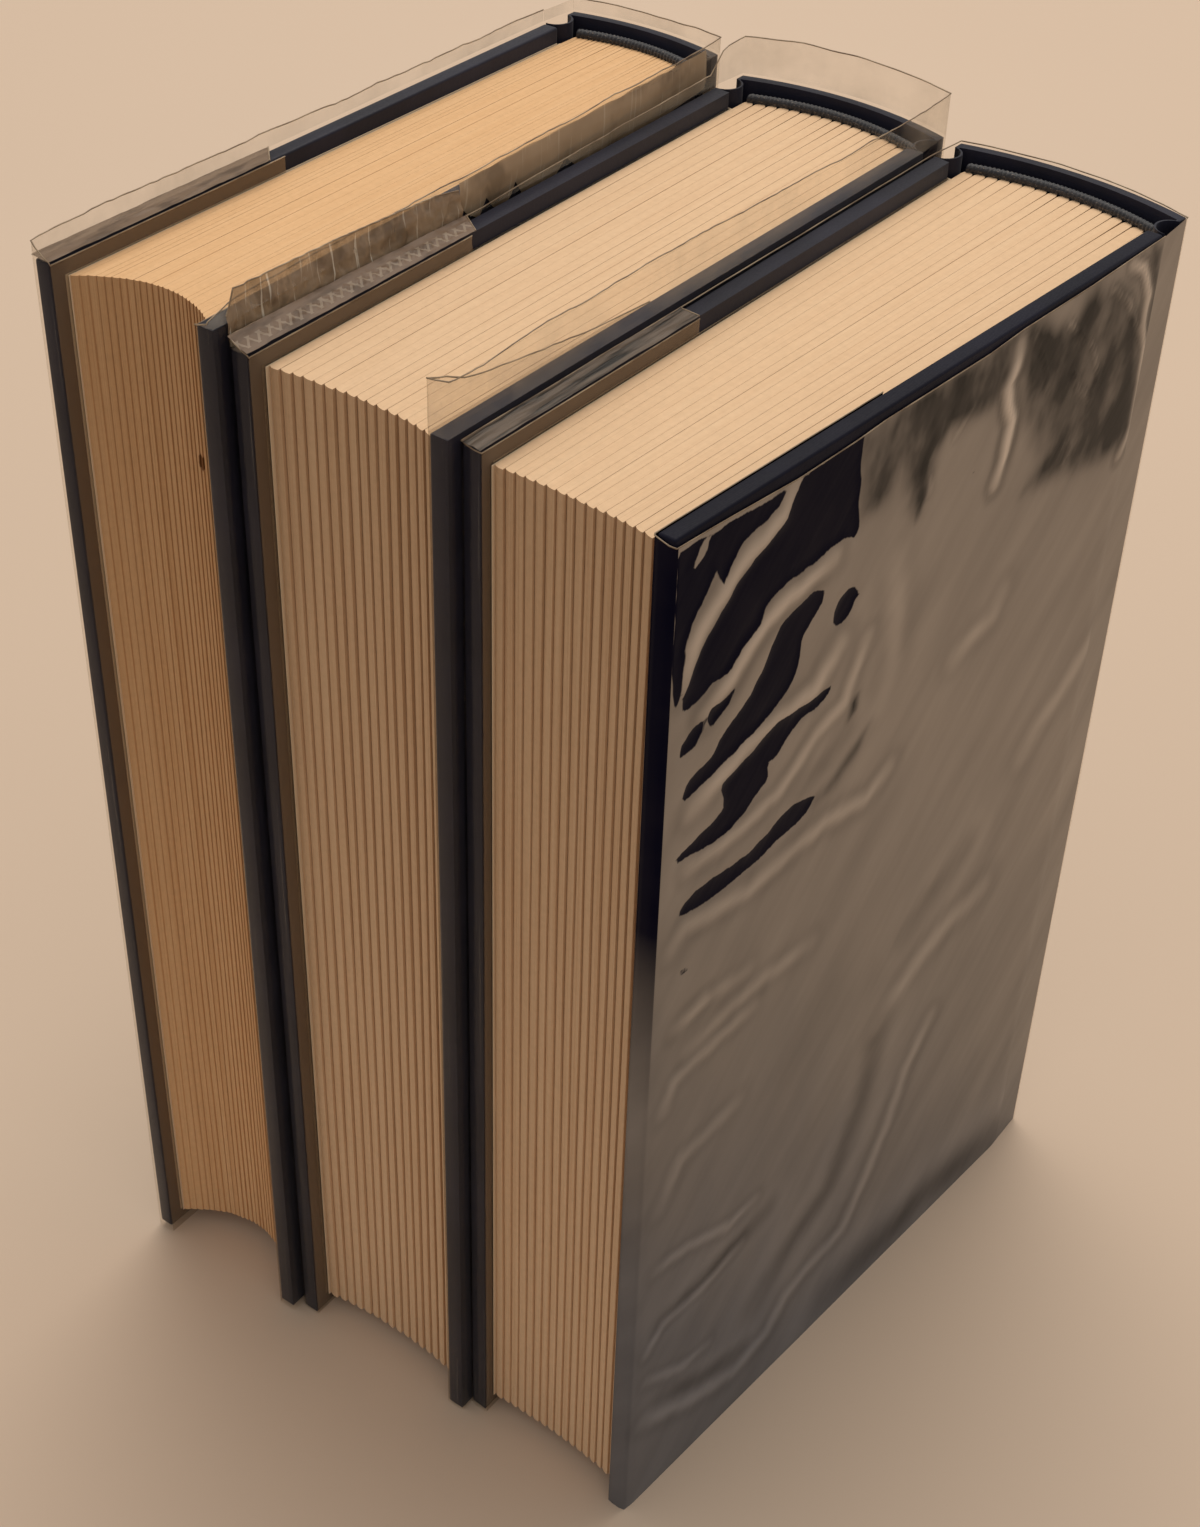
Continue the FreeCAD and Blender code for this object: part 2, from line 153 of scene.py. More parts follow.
class Shader:
    """A node material under construction."""

    def __init__(self, name):
        self.material = bpy.data.materials.new(name)
        self.material.use_nodes = True
        self.tree = self.material.node_tree
        self.surface = self.tree.nodes["Principled BSDF"]
        self.output = self.tree.nodes["Material Output"]

    def add(self, kind, inputs=None, **settings):
        made = self.tree.nodes.new(kind)
        for name, value in settings.items():
            setattr(made, name, value)
        self.feed(made, inputs or {})
        return made

    def feed(self, target, inputs):
        for name, value in inputs.items():
            if isinstance(value, bpy.types.NodeSocket):
                self.tree.links.new(value, target.inputs[name])
            else:
                target.inputs[name].default_value = value

    def math(self, operation, first, second=0.0, third=0.0):
        made = self.add("ShaderNodeMath", {0: first, 1: second, 2: third}, operation=operation)
        return made.outputs[0]

    def times(self, first, second):
        return self.math("MULTIPLY", first, second)

    def spread(self, value, amount, base):
        """base plus how far a value around 0.5 lies from there, times amount."""
        return self.math("MULTIPLY_ADD", self.math("SUBTRACT", value, 0.5), amount, base)

    def vector_math(self, operation, inputs):
        return self.add("ShaderNodeVectorMath", inputs, operation=operation).outputs

    def threads(self, vector, scale, axes, distortion=0.0):
        """One fine wave for each axis named, as of woven threads."""
        inputs = {"Vector": vector, "Scale": scale, "Distortion": distortion}
        return [self.add("ShaderNodeTexWave", inputs, bands_direction=axis).outputs["Fac"] for axis in axes]

    def mix(self, share, first, second, blend="MIX"):
        made = self.add("ShaderNodeMix", data_type="RGBA", blend_type=blend)
        self.feed(made, {0: share, 6: first, 7: second})
        return made.outputs[2]

    def ramp(self, share, *stops):
        made = self.add("ShaderNodeValToRGB", {0: share})
        elements = made.color_ramp.elements
        for _ in range(len(stops) - 2):
            elements.new(0.5)
        for element, (position, color) in zip(elements, stops):
            element.position = position
            element.color = color if len(color) == 4 else (*color, 1)
        return made.outputs[0]

    def noise(self, vector, scale, detail=3.0, roughness=0.5):
        made = self.add("ShaderNodeTexNoise", {"Vector": vector, "Scale": scale, "Detail": detail})
        made.inputs["Roughness"].default_value = roughness
        return made.outputs["Fac"]

    def scaled(self, vector, scale, turn=0.0):
        made = self.add("ShaderNodeMapping", {"Vector": vector, "Scale": scale})
        made.inputs["Rotation"].default_value = (0, 0, turn)
        return made.outputs[0]

    def axes(self, vector):
        return self.add("ShaderNodeSeparateXYZ", {0: vector}).outputs

    def slanted(self, vector, turn, scale):
        """Turned about the third axis, then scaled, for patterns that run slantwise."""
        return self.scaled(self.scaled(vector, (1, 1, 1), turn), scale)

    def place(self):
        """Position on the object in metres."""
        return self.add("ShaderNodeTexCoord").outputs["Object"]

    def uv(self):
        return self.add("ShaderNodeUVMap", uv_map="sheet").outputs[0]

    def bump(self, height, distance, strength=1.0, normal=None):
        made = self.add("ShaderNodeBump", {"Height": height, "Distance": distance, "Strength": strength})
        if normal:
            self.tree.links.new(normal, made.inputs["Normal"])
        return made.outputs[0]


def grey(value):
    return (value, value, value, 1)


# Factors that turn a height, in metres or in millimetres, into a share of 200 mm.
PER_200_MM = 5.0
PER_200_OF_MM = 0.005


def paper_edges(name, pale, deep, gap):
    """Cut edges of pages: leaf lines follow the sheet map, whose first axis counts across the leaves."""
    shader = Shader(name)
    uv = shader.uv()
    leaves = shader.noise(shader.scaled(uv, (7.5, 0.012, 1)), 1.0, 2.0, 0.7)
    fine = shader.noise(shader.scaled(uv, (19.0, 0.05, 1)), 1.0, 2.0, 0.6)
    tone = shader.noise(shader.scaled(uv, (0.6, 0.03, 1)), 1.0, 3.0)
    fibre = shader.noise(shader.place(), 900.0, 4.0, 0.6)
    base = shader.mix(tone, pale, deep)
    # The leaf lines are painted shade in the gaps between the leaves, in the gap colour.
    lines = shader.ramp(leaves, (0.28, gap), (0.47, grey(1)))
    lined = shader.mix(0.3, base, lines, "MULTIPLY")
    speckle = shader.ramp(fibre, (0.3, grey(0.93)), (0.7, grey(1.0)))
    # Painted shade: the upright cut edges are made darker than the heads, more so higher up, by the ramp
    # below.
    normal = shader.add("ShaderNodeNewGeometry").outputs["True Normal"]
    upright = shader.math("LESS_THAN", shader.axes(normal)[2], 0.7)
    height = shader.axes(shader.place())[2]
    share = shader.times(height, PER_200_MM)
    aged = shader.ramp(share, (0.1, grey(0.88)), (1.0, (0.70, 0.68, 0.66)))
    lined = shader.mix(upright, lined, shader.mix(1.0, lined, aged, "MULTIPLY"))
    shader.feed(shader.surface, {
        "Base Color": shader.mix(1.0, lined, speckle, "MULTIPLY"),
        "Roughness": 0.88,
        "Specular IOR Level": 0.2,
        "Normal": shader.bump(shader.math("ADD", leaves, fine), 0.00008, 0.35),
    })
    return shader


def book_cloth(name, color, sheen, shine):
    """Fine-grained book cloth, rubbed a little paler in patches."""
    shader = Shader(name)
    place = shader.place()
    grain = shader.add("ShaderNodeTexVoronoi", {"Vector": place, "Scale": 2600.0}).outputs["Distance"]
    weave = shader.times(*shader.threads(place, 900.0, "ZY", 0.6))
    height = shader.math("ADD", shader.times(grain, 0.6), shader.times(weave, 0.6))
    dust = shader.noise(place, 55.0, 5.0, 0.65)
    worn = shader.ramp(dust, (0.42, grey(0)), (0.75, grey(0.5)))
    rubbed = tuple(channel * 2.2 + 0.003 for channel in color[:3]) + (1,)
    shader.feed(shader.surface, {
        "Base Color": shader.mix(worn, color, rubbed),
        "Roughness": shader.ramp(height, (0.1, grey(0.42)), (0.8, grey(0.62))),
        "Specular IOR Level": shine,
        "Sheen Weight": sheen,
        "Sheen Roughness": 0.45,
        "Normal": shader.bump(height, 0.00006, 0.3),
    })
    return shader.material


def stained(shader, centre, size):
    """Adds a small round stain at a place on the object."""
    offset = shader.vector_math("SUBTRACT", {0: shader.place(), 1: centre})[0]
    shape = shader.vector_math("MULTIPLY", {0: offset, 1: (1, 0.4, 0.55)})[0]
    distance = shader.vector_math("LENGTH", {0: shape})["Value"]
    ragged = shader.math("MULTIPLY_ADD", shader.noise(shader.place(), 1500.0), size * 0.5, distance)
    mask = shader.ramp(shader.math("DIVIDE", ragged, size), (0.9, grey(1)), (1.3, grey(0)))
    clean = shader.surface.inputs["Base Color"].links[0].from_socket
    shader.feed(shader.surface, {"Base Color": shader.mix(mask, clean, (0.20, 0.085, 0.03, 1))})
    return shader


# Each gets a pale and a deep paper colour, then the colour of the painted shade between the leaves.
paper_pale = paper_edges("paper edges", (0.89, 0.63, 0.40, 1), (0.81, 0.54, 0.325, 1),
                         (0.66, 0.54, 0.44, 1)).material
paper_aged_shader = paper_edges("aged paper edges", (0.89, 0.575, 0.315, 1), (0.80, 0.475, 0.235, 1),
                                (0.66, 0.52, 0.40, 1))
cloth = book_cloth("navy book cloth", (0.008, 0.008, 0.018, 1), 0.12, 0.18)
# A darker copy of the same cloth for the back cover that opens on the right book: painted shade.
cloth_painted_dark = book_cloth("shade_darkened book cloth", (0.004, 0.004, 0.012, 1), 0.03, 0.12)


def plain_paper():
    """Endpapers: smooth uncoated paper."""
    shader = Shader("endpaper")
    fibre = shader.noise(shader.place(), 700.0, 5.0, 0.65)
    cloudy = shader.noise(shader.place(), 40.0, 3.0)
    shader.feed(shader.surface, {
        "Base Color": shader.mix(cloudy, (0.80, 0.63, 0.44, 1), (0.74, 0.56, 0.37, 1)),
        "Roughness": 0.8,
        "Specular IOR Level": 0.25,
        "Normal": shader.bump(fibre, 0.00003, 0.5),
    })
    return shader.material


def grey_board():
    shader = Shader("grey board")
    fibre = shader.noise(shader.place(), 600.0, 6.0, 0.7)
    shader.feed(shader.surface, {
        "Base Color": shader.ramp(fibre, (0.3, (0.22, 0.17, 0.12)), (0.7, (0.36, 0.29, 0.21))),
        "Roughness": 0.9,
        "Normal": shader.bump(fibre, 0.0001, 0.6),
    })
    return shader.material


def mull():
    """Open gauze and paper glued over the spine."""
    shader = Shader("spine lining")
    threads = shader.math("MAXIMUM", *shader.threads(shader.place(), 260.0, "ZX"))
    shader.feed(shader.surface, {
        "Base Color": shader.ramp(threads, (0.5, (0.30, 0.22, 0.14)), (0.9, (0.62, 0.50, 0.36))),
        "Roughness": 0.9,
        "Normal": shader.bump(threads, 0.0002, 0.7),
    })
    return shader.material


def braid():
    """Dark headband cord with a few pale threads: the sheet map runs along the cord."""
    shader = Shader("braided band")
    uv = shader.uv()
    threads = shader.noise(shader.scaled(uv, (1.9, 3.0, 1)), 1.0, 2.0, 0.6)
    shader.feed(shader.surface, {
        "Base Color": shader.ramp(threads, (0.58, (0.007, 0.008, 0.014)), (0.72, (0.20, 0.16, 0.13))),
        "Roughness": 0.55,
        "Sheen Weight": 0.3,
        "Normal": shader.bump(shader.noise(shader.place(), 5000.0), 0.00005, 0.5),
    })
    return shader.material


# Colours of the cover film's haze, low to high: partly the film's own milkiness, partly painted reflection of
# the bright surroundings.
HAZE_REFLECTION_LOW = (0.142, 0.137, 0.142)
HAZE_REFLECTION_MIDDLE = (0.265, 0.224, 0.187)
HAZE_REFLECTION_HIGH = (0.335, 0.275, 0.222)


def clear_film():
    """Soft clear film: see-through, hazy at its standing rims and flaps, glossier at grazing angles.

    The sheet map's first axis is the way along the sheet and its second the height above the cover's head.
    """
    shader = Shader("clear film")
    place = shader.place()
    ripple = shader.noise(shader.scaled(place, (1, 1, 0.45)), 75.0, 3.0, 0.55)
    micro = shader.noise(place, 420.0, 2.0, 0.5)
    height = shader.math("ADD", ripple, shader.times(micro, 0.08))
    normal = shader.bump(height, 0.0008, 0.3)
    cloudy = shader.noise(place, 60.0, 4.0, 0.6)
    along, above = shader.axes(shader.uv())[:2]
    # Pale streaks along the fore bend are painted glints.
    streaks = shader.noise(shader.scaled(shader.uv(), (2.6, 0.012, 1)), 1.0, 2.0, 0.5)
    glint = shader.ramp(streaks, (0.64, grey(0)), (0.70, grey(1)))
    at_fore = shader.times(shader.math("LESS_THAN", along, CORNER_AT + 0.5),
                           shader.math("GREATER_THAN", along, BEND_AT - 0.5))
    rim = shader.math("GREATER_THAN", above, 0.3)
    veil = shader.times(shader.ramp(cloudy, (0.38, grey(0.05)), (0.72, grey(0.34))), rim)
    veil = shader.math("MAXIMUM", veil, shader.times(shader.times(at_fore, glint), 0.16))
    flap = shader.times(shader.math("LESS_THAN", along, FLAP_AT + 0.5), shader.math("SUBTRACT", 1.0, rim))
    veil = shader.math("MAXIMUM", veil, shader.times(flap, 0.38))
    haze = shader.mix(flap, (0.62, 0.52, 0.40, 1), (0.36, 0.245, 0.145, 1))
    shader.feed(shader.surface, {"Base Color": haze, "Roughness": 0.45, "Normal": normal})
    clear = shader.add("ShaderNodeBsdfTransparent", {"Color": (0.975, 0.955, 0.925, 1)})
    body = shader.add("ShaderNodeMixShader", {0: veil, 1: clear.outputs[0], 2: shader.surface.outputs[0]})
    gloss = shader.add("ShaderNodeBsdfGlossy", {"Color": (1, 0.97, 0.92, 1), "Roughness": 0.1,
                                                "Normal": normal})
    facing = shader.add("ShaderNodeLayerWeight", {"Blend": 0.5, "Normal": normal}).outputs["Facing"]
    edge_on = shader.math("MULTIPLY_ADD", shader.math("POWER", facing, 5.0), 0.45, 0.014)
    coated = shader.add("ShaderNodeMixShader", {0: edge_on, 1: body.outputs[0], 2: gloss.outputs[0]})
    shader.tree.links.new(coated.outputs[0], shader.output.inputs["Surface"])
    return shader.material


def cut_edge():
    """The cut edge of the film, where it shows its thickness as a fine brown line."""
    shader = Shader("film edge")
    uneven = shader.noise(shader.place(), 160.0, 3.0, 0.6)
    shader.feed(shader.surface, {
        "Base Color": shader.ramp(uneven, (0.35, (0.17, 0.105, 0.055)), (0.65, (0.42, 0.31, 0.2))),
        "Roughness": 0.35,
    })
    return shader.material


def cover_sheet():
    """Film over a cover in full view: a brown haze that is partly painted reflection, dark where it clings,
    with folds painted as highlight and shade, and smoky places.
    """
    shader = Shader("cover film")
    place = shader.place()
    cling = shader.add("ShaderNodeAttribute", attribute_name="cling").outputs["Fac"]
    tone = shader.add("ShaderNodeAttribute", attribute_name="tone").outputs["Fac"]
    smoke = shader.add("ShaderNodeAttribute", attribute_name="smoke").outputs["Fac"]
    depth, level = shader.axes(shader.uv())[:2]
    broad = shader.noise(shader.scaled(place, (1, 1, 0.6)), 22.0, 3.0, 0.55)
    streaky = shader.noise(shader.slanted(shader.uv(), -0.85, (0.025, 0.13, 1)), 1.0, 3.0, 0.5)
    fine = shader.noise(shader.scaled(shader.uv(), (1.1, 0.16, 1), 0.25), 1.0, 3.0, 0.6)
    # The haze is lighter higher up and towards the spine, as painted reflection, and varies in broad patches.
    low = shader.math("MULTIPLY_ADD", level, 0.0072, shader.math("MULTIPLY_ADD", depth, 0.0055, -0.42))
    share = shader.spread(broad, 0.5, low)
    haze = shader.ramp(share, (0.0, HAZE_REFLECTION_LOW), (0.45, HAZE_REFLECTION_MIDDLE), (0.95, HAZE_REFLECTION_HIGH))
    # Painted highlight and shade: the haze is lit along fold crests and darkened beside folds and in hollows
    # (tone), with streaks along the fine wrinkles and broad patches.
    waves = shader.spread(streaky, 0.55, shader.times(tone, 2.3))
    lit = shader.math("ADD", shader.spread(broad, 0.25, waves), 1.0)
    lit_color = shader.add("ShaderNodeCombineColor", {0: lit, 1: lit, 2: lit}).outputs[0]
    hazed = shader.mix(1.0, haze, lit_color, "MULTIPLY")
    patchy = shader.noise(place, 95.0, 2.0, 0.5)
    swirls = shader.noise(shader.slanted(shader.uv(), -1.25, (0.07, 0.12, 1)), 1.0, 3.0, 0.5)
    smoky = shader.times(smoke, shader.ramp(swirls, (0.40, grey(1.5)), (0.72, grey(0.7))))
    # Darker colours laid over the smoky places, where the film lies close.
    smoky_dark = shader.mix(shader.ramp(swirls, (0.40, grey(0)), (0.66, grey(1))), (0.011, 0.010, 0.009, 1),
                      (0.085, 0.070, 0.058, 1))
    smoked = shader.mix(shader.math("MINIMUM", smoky, 0.96), hazed, smoky_dark)
    unclear = shader.ramp(patchy, (0.45, grey(0)), (0.8, grey(0.6)))
    navy = shader.mix(unclear, (0.003, 0.003, 0.012, 1), (0.012, 0.010, 0.018, 1))
    ragged = shader.math("ADD", shader.spread(fine, 0.5, cling), 0.5)
    mask = shader.ramp(ragged, (0.42, grey(0)), (0.62, grey(1)))
    at_fore = shader.math("LESS_THAN", depth, 0.35)
    high_up = shader.ramp(shader.times(level, PER_200_OF_MM), (0.52, grey(0.05)), (0.70, grey(1)))
    mask = shader.math("MAXIMUM", mask, shader.times(at_fore, high_up))
    shader.feed(shader.surface, {
        "Base Color": shader.mix(mask, smoked, navy),
        "Roughness": shader.mix(mask, grey(0.42), grey(0.3)),
        "Specular IOR Level": shader.math("MULTIPLY_ADD", mask, -0.1, 0.12),
        "Normal": shader.bump(streaky, 0.0009, 0.25),
    })
    return shader.material


def pocket_film(name, low, high, wrinkle_scale, wrinkle_depth, cover, roughness, shade_in_creases, glints=0.0,
                weld=0.0):
    """Film lying in wrinkles over cloth: a grey-brown haze that covers most of what is under it.

    crease darkens the low colour in the wrinkles as painted shade; glints, which are painted highlights, and
    weld are how strongly those show.
    """
    shader = Shader(name)
    uv = shader.uv()
    wrinkles = shader.noise(shader.scaled(uv, wrinkle_scale, 0.12), 1.0, 3.0, 0.55)
    cloudy = shader.noise(shader.place(), 130.0, 3.0)
    shades = shader.mix(cloudy, low, high)
    # Painted shade in the wrinkles: their low colour is darkened.
    creases_shaded = shader.mix(shader.ramp(wrinkles, (0.38, grey(1)), (0.52, grey(0))), shades,
                         tuple(channel * shade_in_creases for channel in low[:3]) + (1,))
    if glints:
        # Painted glints: pale streaks that stand for highlights on the film's crinkles.
        sharp = shader.noise(shader.slanted(uv, -0.9, (0.35, 1.5, 1)), 1.0, 2.0, 0.5)
        glinting = shader.ramp(sharp, (0.60, grey(0)), (0.66, grey(glints)))
        creases_shaded = shader.mix(glinting, creases_shaded, (0.80, 0.71, 0.58, 1))
    if weld:
        depth, inset = shader.axes(uv)[:2]
        beside = shader.ramp(inset, (0.8, grey(0)), (1.0, grey(1)))
        beside = shader.times(beside, shader.math("LESS_THAN", inset, 2.6))
        crossing = 0.0
        for lean in (WELD_LEAN, -WELD_LEAN):
            along = shader.times(shader.math("MULTIPLY_ADD", inset, lean, depth), math.pi / WELD_PITCH)
            wave = shader.math("ABSOLUTE", shader.math("SINE", along))
            crossing = shader.math("MAXIMUM", crossing, shader.math("GREATER_THAN", wave, 0.93))
        crossing = shader.times(shader.times(crossing, beside), weld)
        creases_shaded = shader.mix(crossing, creases_shaded, (0.52, 0.42, 0.31, 1))
    normal = shader.bump(wrinkles, wrinkle_depth, 0.8)
    shader.feed(shader.surface, {
        "Base Color": creases_shaded, "Roughness": roughness, "Specular IOR Level": 0.25, "Normal": normal,
    })
    clear = shader.add("ShaderNodeBsdfTransparent", {"Color": (0.8, 0.76, 0.7, 1)})
    body = shader.add("ShaderNodeMixShader", {0: cover, 1: clear.outputs[0], 2: shader.surface.outputs[0]})
    shader.tree.links.new(body.outputs[0], shader.output.inputs["Surface"])
    return shader.material


WELD_LEAN = 0.9
WELD_PITCH = 2.2

film_clear = clear_film()
film_edge = cut_edge()
film_cover = cover_sheet()
film_flat = pocket_film(
    "pocket film", (0.17, 0.105, 0.062, 1), (0.26, 0.175, 0.112, 1), (0.12, 0.5, 1), 0.00015, 0.9, 0.4, 0.75)
film_welded = pocket_film(
    "welded pocket film", (0.17, 0.105, 0.065, 1), (0.26, 0.175, 0.118, 1), (0.12, 0.5, 1), 0.00015, 0.9, 0.4,
    0.75, weld=0.35)
film_wrinkled = pocket_film(
    "wrinkled pocket film", (0.115, 0.085, 0.062, 1), (0.21, 0.155, 0.115, 1), (0.045, 0.75, 1), 0.0006, 0.85,
    0.32, 0.12)
film_crinkled = pocket_film(
    "crinkled film", (0.30, 0.205, 0.125, 1), (0.44, 0.315, 0.205, 1), (0.2, 1.1, 1), 0.0010, 0.72, 0.14,
    0.75, glints=0.9)
film_smoky = pocket_film(
    "loose film", (0.36, 0.255, 0.160, 1), (0.52, 0.385, 0.255, 1), (0.12, 0.6, 1), 0.0003, 0.82, 0.4, 0.75,
    glints=0.25)


# Mesh helpers

def new_object(name, vertices, faces, materials, uvs=None, face_slots=None, smooth=True):
    """A mesh object in the row frame. vertices are in metres; uvs has one pair for each vertex."""
    mesh = bpy.data.meshes.new(name)
    mesh.from_pydata([tuple(v) for v in vertices], [], faces)
    for material in materials:
        mesh.materials.append(material)
    if face_slots:
        mesh.polygons.foreach_set("material_index", face_slots)
    if uvs:
        layer = mesh.uv_layers.new(name="sheet")
        for loop in mesh.loops:
            layer.data[loop.index].uv = uvs[loop.vertex_index]
    mesh.polygons.foreach_set("use_smooth", [smooth] * len(mesh.polygons))
    mesh.update()
    piece = bpy.data.objects.new(name, mesh)
    bpy.context.scene.collection.objects.link(piece)
    return piece


def add_piece(name, vertices, faces, materials, body, uvs=None, face_slots=None, smooth=True):
    piece = new_object(name, vertices, faces, materials, uvs, face_slots, smooth)
    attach(piece, body)
    return piece


def store(piece, name, values):
    """Keeps one value for each vertex, for the piece's material."""
    layer = piece.data.attributes.new(name, "FLOAT", "POINT")
    layer.data.foreach_set("value", values)


def grid_faces(rows, columns, first=0, around=False):
    faces = []
    for row in range(rows - 1):
        for column in range(columns if around else columns - 1):
            right = (column + 1) % columns
            low = first + row * columns
            high = low + columns
            faces.append((low + column, low + right, high + right, high + column))
    return faces


def arc(begin, end, bulge, steps):
    """Points after begin along an arc in plan; bulge, in metres, rises to the right of the way."""
    chord = end - begin
    half = chord.length / 2
    rise = abs(bulge)
    radius = (half * half + rise * rise) / (2 * rise)
    right = Vector((chord.y, -chord.x)).normalized() * math.copysign(1, bulge)
    centre = (begin + end) / 2 + right * (rise - radius)
    opening = math.asin(min(1.0, half / radius))
    if rise > half:
        opening = math.pi - opening
    forward = chord.normalized()
    points = []
    for step in range(1, steps + 1):
        angle = opening * (2 * step / steps - 1)
        points.append(centre + right * radius * math.cos(angle) + forward * radius * math.sin(angle))
    return points


def extrude(name, outline, low, high, materials, body, rounding):
    """A closed plan outline raised from low to high, with its edges rounded."""
    count = len(outline)
    vertices = [(p.x, p.y, level * MM) for level in (low, high) for p in outline]
    faces = [(i, (i + 1) % count, count + (i + 1) % count, count + i) for i in range(count)]
    faces.append(tuple(reversed(range(count))))
    faces.append(tuple(range(count, 2 * count)))
    piece = add_piece(name, vertices, faces, materials, body)
    soften(piece, rounding)
    return piece


def soften(piece, rounding):
    bevel = piece.modifiers.new("edges", "BEVEL")
    bevel.width = rounding * MM
    bevel.segments = 3
    bevel.limit_method = "ANGLE"
    bevel.angle_limit = math.radians(40)


# Text blocks

GAP = 0.07
FOLD_ROUND = 1.1
FAN_LENGTH = 14.0
LEVELS = 22


def signature_outline(book, number):
    """Plan outline of one signature as (share across the signature, depth, how far the fan thins it)."""
    steps = 2 * book.leaves
    outline = []
    for step in range(steps + 1):
        part = step / steps
        share = (number + part) / book.signatures
        notch = 0.03 if step % 2 == 0 else 0.0
        uneven = 0.05 * noise.noise((number * 3.7 + book.seed, step * 1.3, 0.0))
        depth = book.fore_depth(share) + book.tooth * 0.75 * (1 - part) ** 2.6 + notch + uneven
        outline.append((part, depth))
    middle = (number + 0.5) / book.signatures
    fold = book.spine_depth(middle, SHOULDER)
    stops = [0.06, 0.2, 0.45, 0.7, 0.86, 0.93, 0.97]
    start = book.fore_depth(middle)
    depths = [start + (fold - FOLD_ROUND - start) * stop for stop in stops] + [fold - FOLD_ROUND]
    outline += [(1.0, depth) for depth in depths]
    for step in range(1, 6):
        angle = math.pi * step / 6
        outline.append((0.5 + 0.5 * math.cos(angle), fold - FOLD_ROUND + FOLD_ROUND * math.sin(angle)))
    outline += [(0.0, depth) for depth in reversed(depths)]
    return outline, fold


def text_block(book, material):
    vertices = []
    uvs = []
    faces = []
    pitch = book.width(BLOCK_FACE, 60.0) / book.signatures

    def wander(boundary, level):
        if boundary in (0, book.signatures):
            return 0.0
        return 0.16 * noise.noise((boundary * 2.1 + book.seed, level * 0.022, 4.0))

    for number in range(book.signatures):
        outline, fold = signature_outline(book, number)
        first = len(vertices)
        loose = book.looseness * max(0.15, 0.75 + 1.7 * noise.noise((number * 1.9, book.seed, 5.0)))
        top_drop = 0.10 * abs(noise.noise((number * 5.3, book.seed, 9.0)))
        for row in range(LEVELS):
            rise = row / (LEVELS - 1)
            level = book.block_foot + (book.block_head - top_drop - book.block_foot) * rise
            near = wander(number, level)
            far = wander(number + 1, level)
            sway = 0.25 * noise.noise((number * 0.35 + book.seed, level * 0.012, 1.0))
            for part, depth in outline:
                fan = max(0.0, 1 - (fold - depth) / FAN_LENGTH)
                gap = GAP * loose + 0.17 * loose * fan ** 1.5
                local = gap / 2 + part * (pitch - gap) + near + (far - near) * part
                share = (number * pitch + local) / (pitch * book.signatures)
                at_front = max(0.0, 1 - depth / 40.0)
                vertices.append(book.across(share, BLOCK_FACE, depth + sway * at_front, level))
                uvs.append((number * pitch + part * pitch, depth - level))
        count = len(outline)
        faces += [tuple(reversed(face)) for face in grid_faces(LEVELS, count, first, around=True)]
        faces.append(tuple(first + i for i in range(count)))
        last = first + (LEVELS - 1) * count
        faces.append(tuple(last + i for i in reversed(range(count))))
    piece = add_piece(f"{book.name}_pages", vertices, faces, [material], "books",
                      uvs, smooth=False)
    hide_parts(f"{book.name}_text_block")
    return piece


def frame_slot(node):
    entry = next(part for part in frame["record"]["subparts"] if part["node"] == node)
    return entry["material_slot"]


# The stain is on the left book's fore edge, near its back cover.
left = books["left_book"]
stain_place = left.across(0.66, BLOCK_FACE, left.fore_depth(0.66), left.head - 30.2)
paper_aged = stained(paper_aged_shader, tuple(stain_place), 0.0011).material
for book in books.values():
    text_block(book, paper_aged if book.name == "left_book" else paper_pale)


# Covers and case

OPENING = {("left_book", LEFT): "left_book_front_cover", ("right_book", RIGHT): "right_book_back_cover"}
SIDE_NAMES = {LEFT: "front", RIGHT: "back"}
EDGE_ROUND = 0.45


def path(book, side, stops):
    return [book.covers[side].plan(inset, depth) for inset, depth in stops]


def case_faces(book):
    """Inner and outer plan lines of the case, from one fore edge round the spine to the other."""
    groove_end = CASE_DEPTH - LIP_WIDTH
    inner_groove = (GROOVE_DEPTH - SKIN) * MM
    lip_inner = LIP_INSET + 2 * SKIN
    halves = {}
    for side in (LEFT, RIGHT):
        closed = (book.name, side) not in OPENING
        board = [0.0, BOARD_DEPTH] if closed else []
        inner = path(book, side, [(COVER, depth) for depth in board] + [(2 * SKIN, BOARD_DEPTH + 0.3)])
        outer = path(book, side, [(0.0, depth) for depth in board] + [(0.0, BOARD_DEPTH + 0.3)])
        inner_end = path(book, side, [(lip_inner, groove_end), (lip_inner, CASE_DEPTH - SPINE_BAND)])
        outer_end = path(book, side, [(LIP_INSET, groove_end), (LIP_INSET, CASE_DEPTH)])
        turn = 1 if side == LEFT else -1
        inner += arc(inner[-1], inner_end[0], turn * inner_groove, 10) + inner_end[1:]
        outer += arc(outer[-1], outer_end[0], turn * GROOVE_DEPTH * MM, 10) + outer_end[1:]
        halves[side] = (inner, outer)
    lines = []
    for layer in (0, 1):
        left_half, right_half = halves[LEFT][layer], halves[RIGHT][layer]
        spine = arc(left_half[-1], right_half[-1], -book.spine_bulge * MM, 16)
        lines.append(left_half + spine + list(reversed(right_half[:-1])))
    return lines


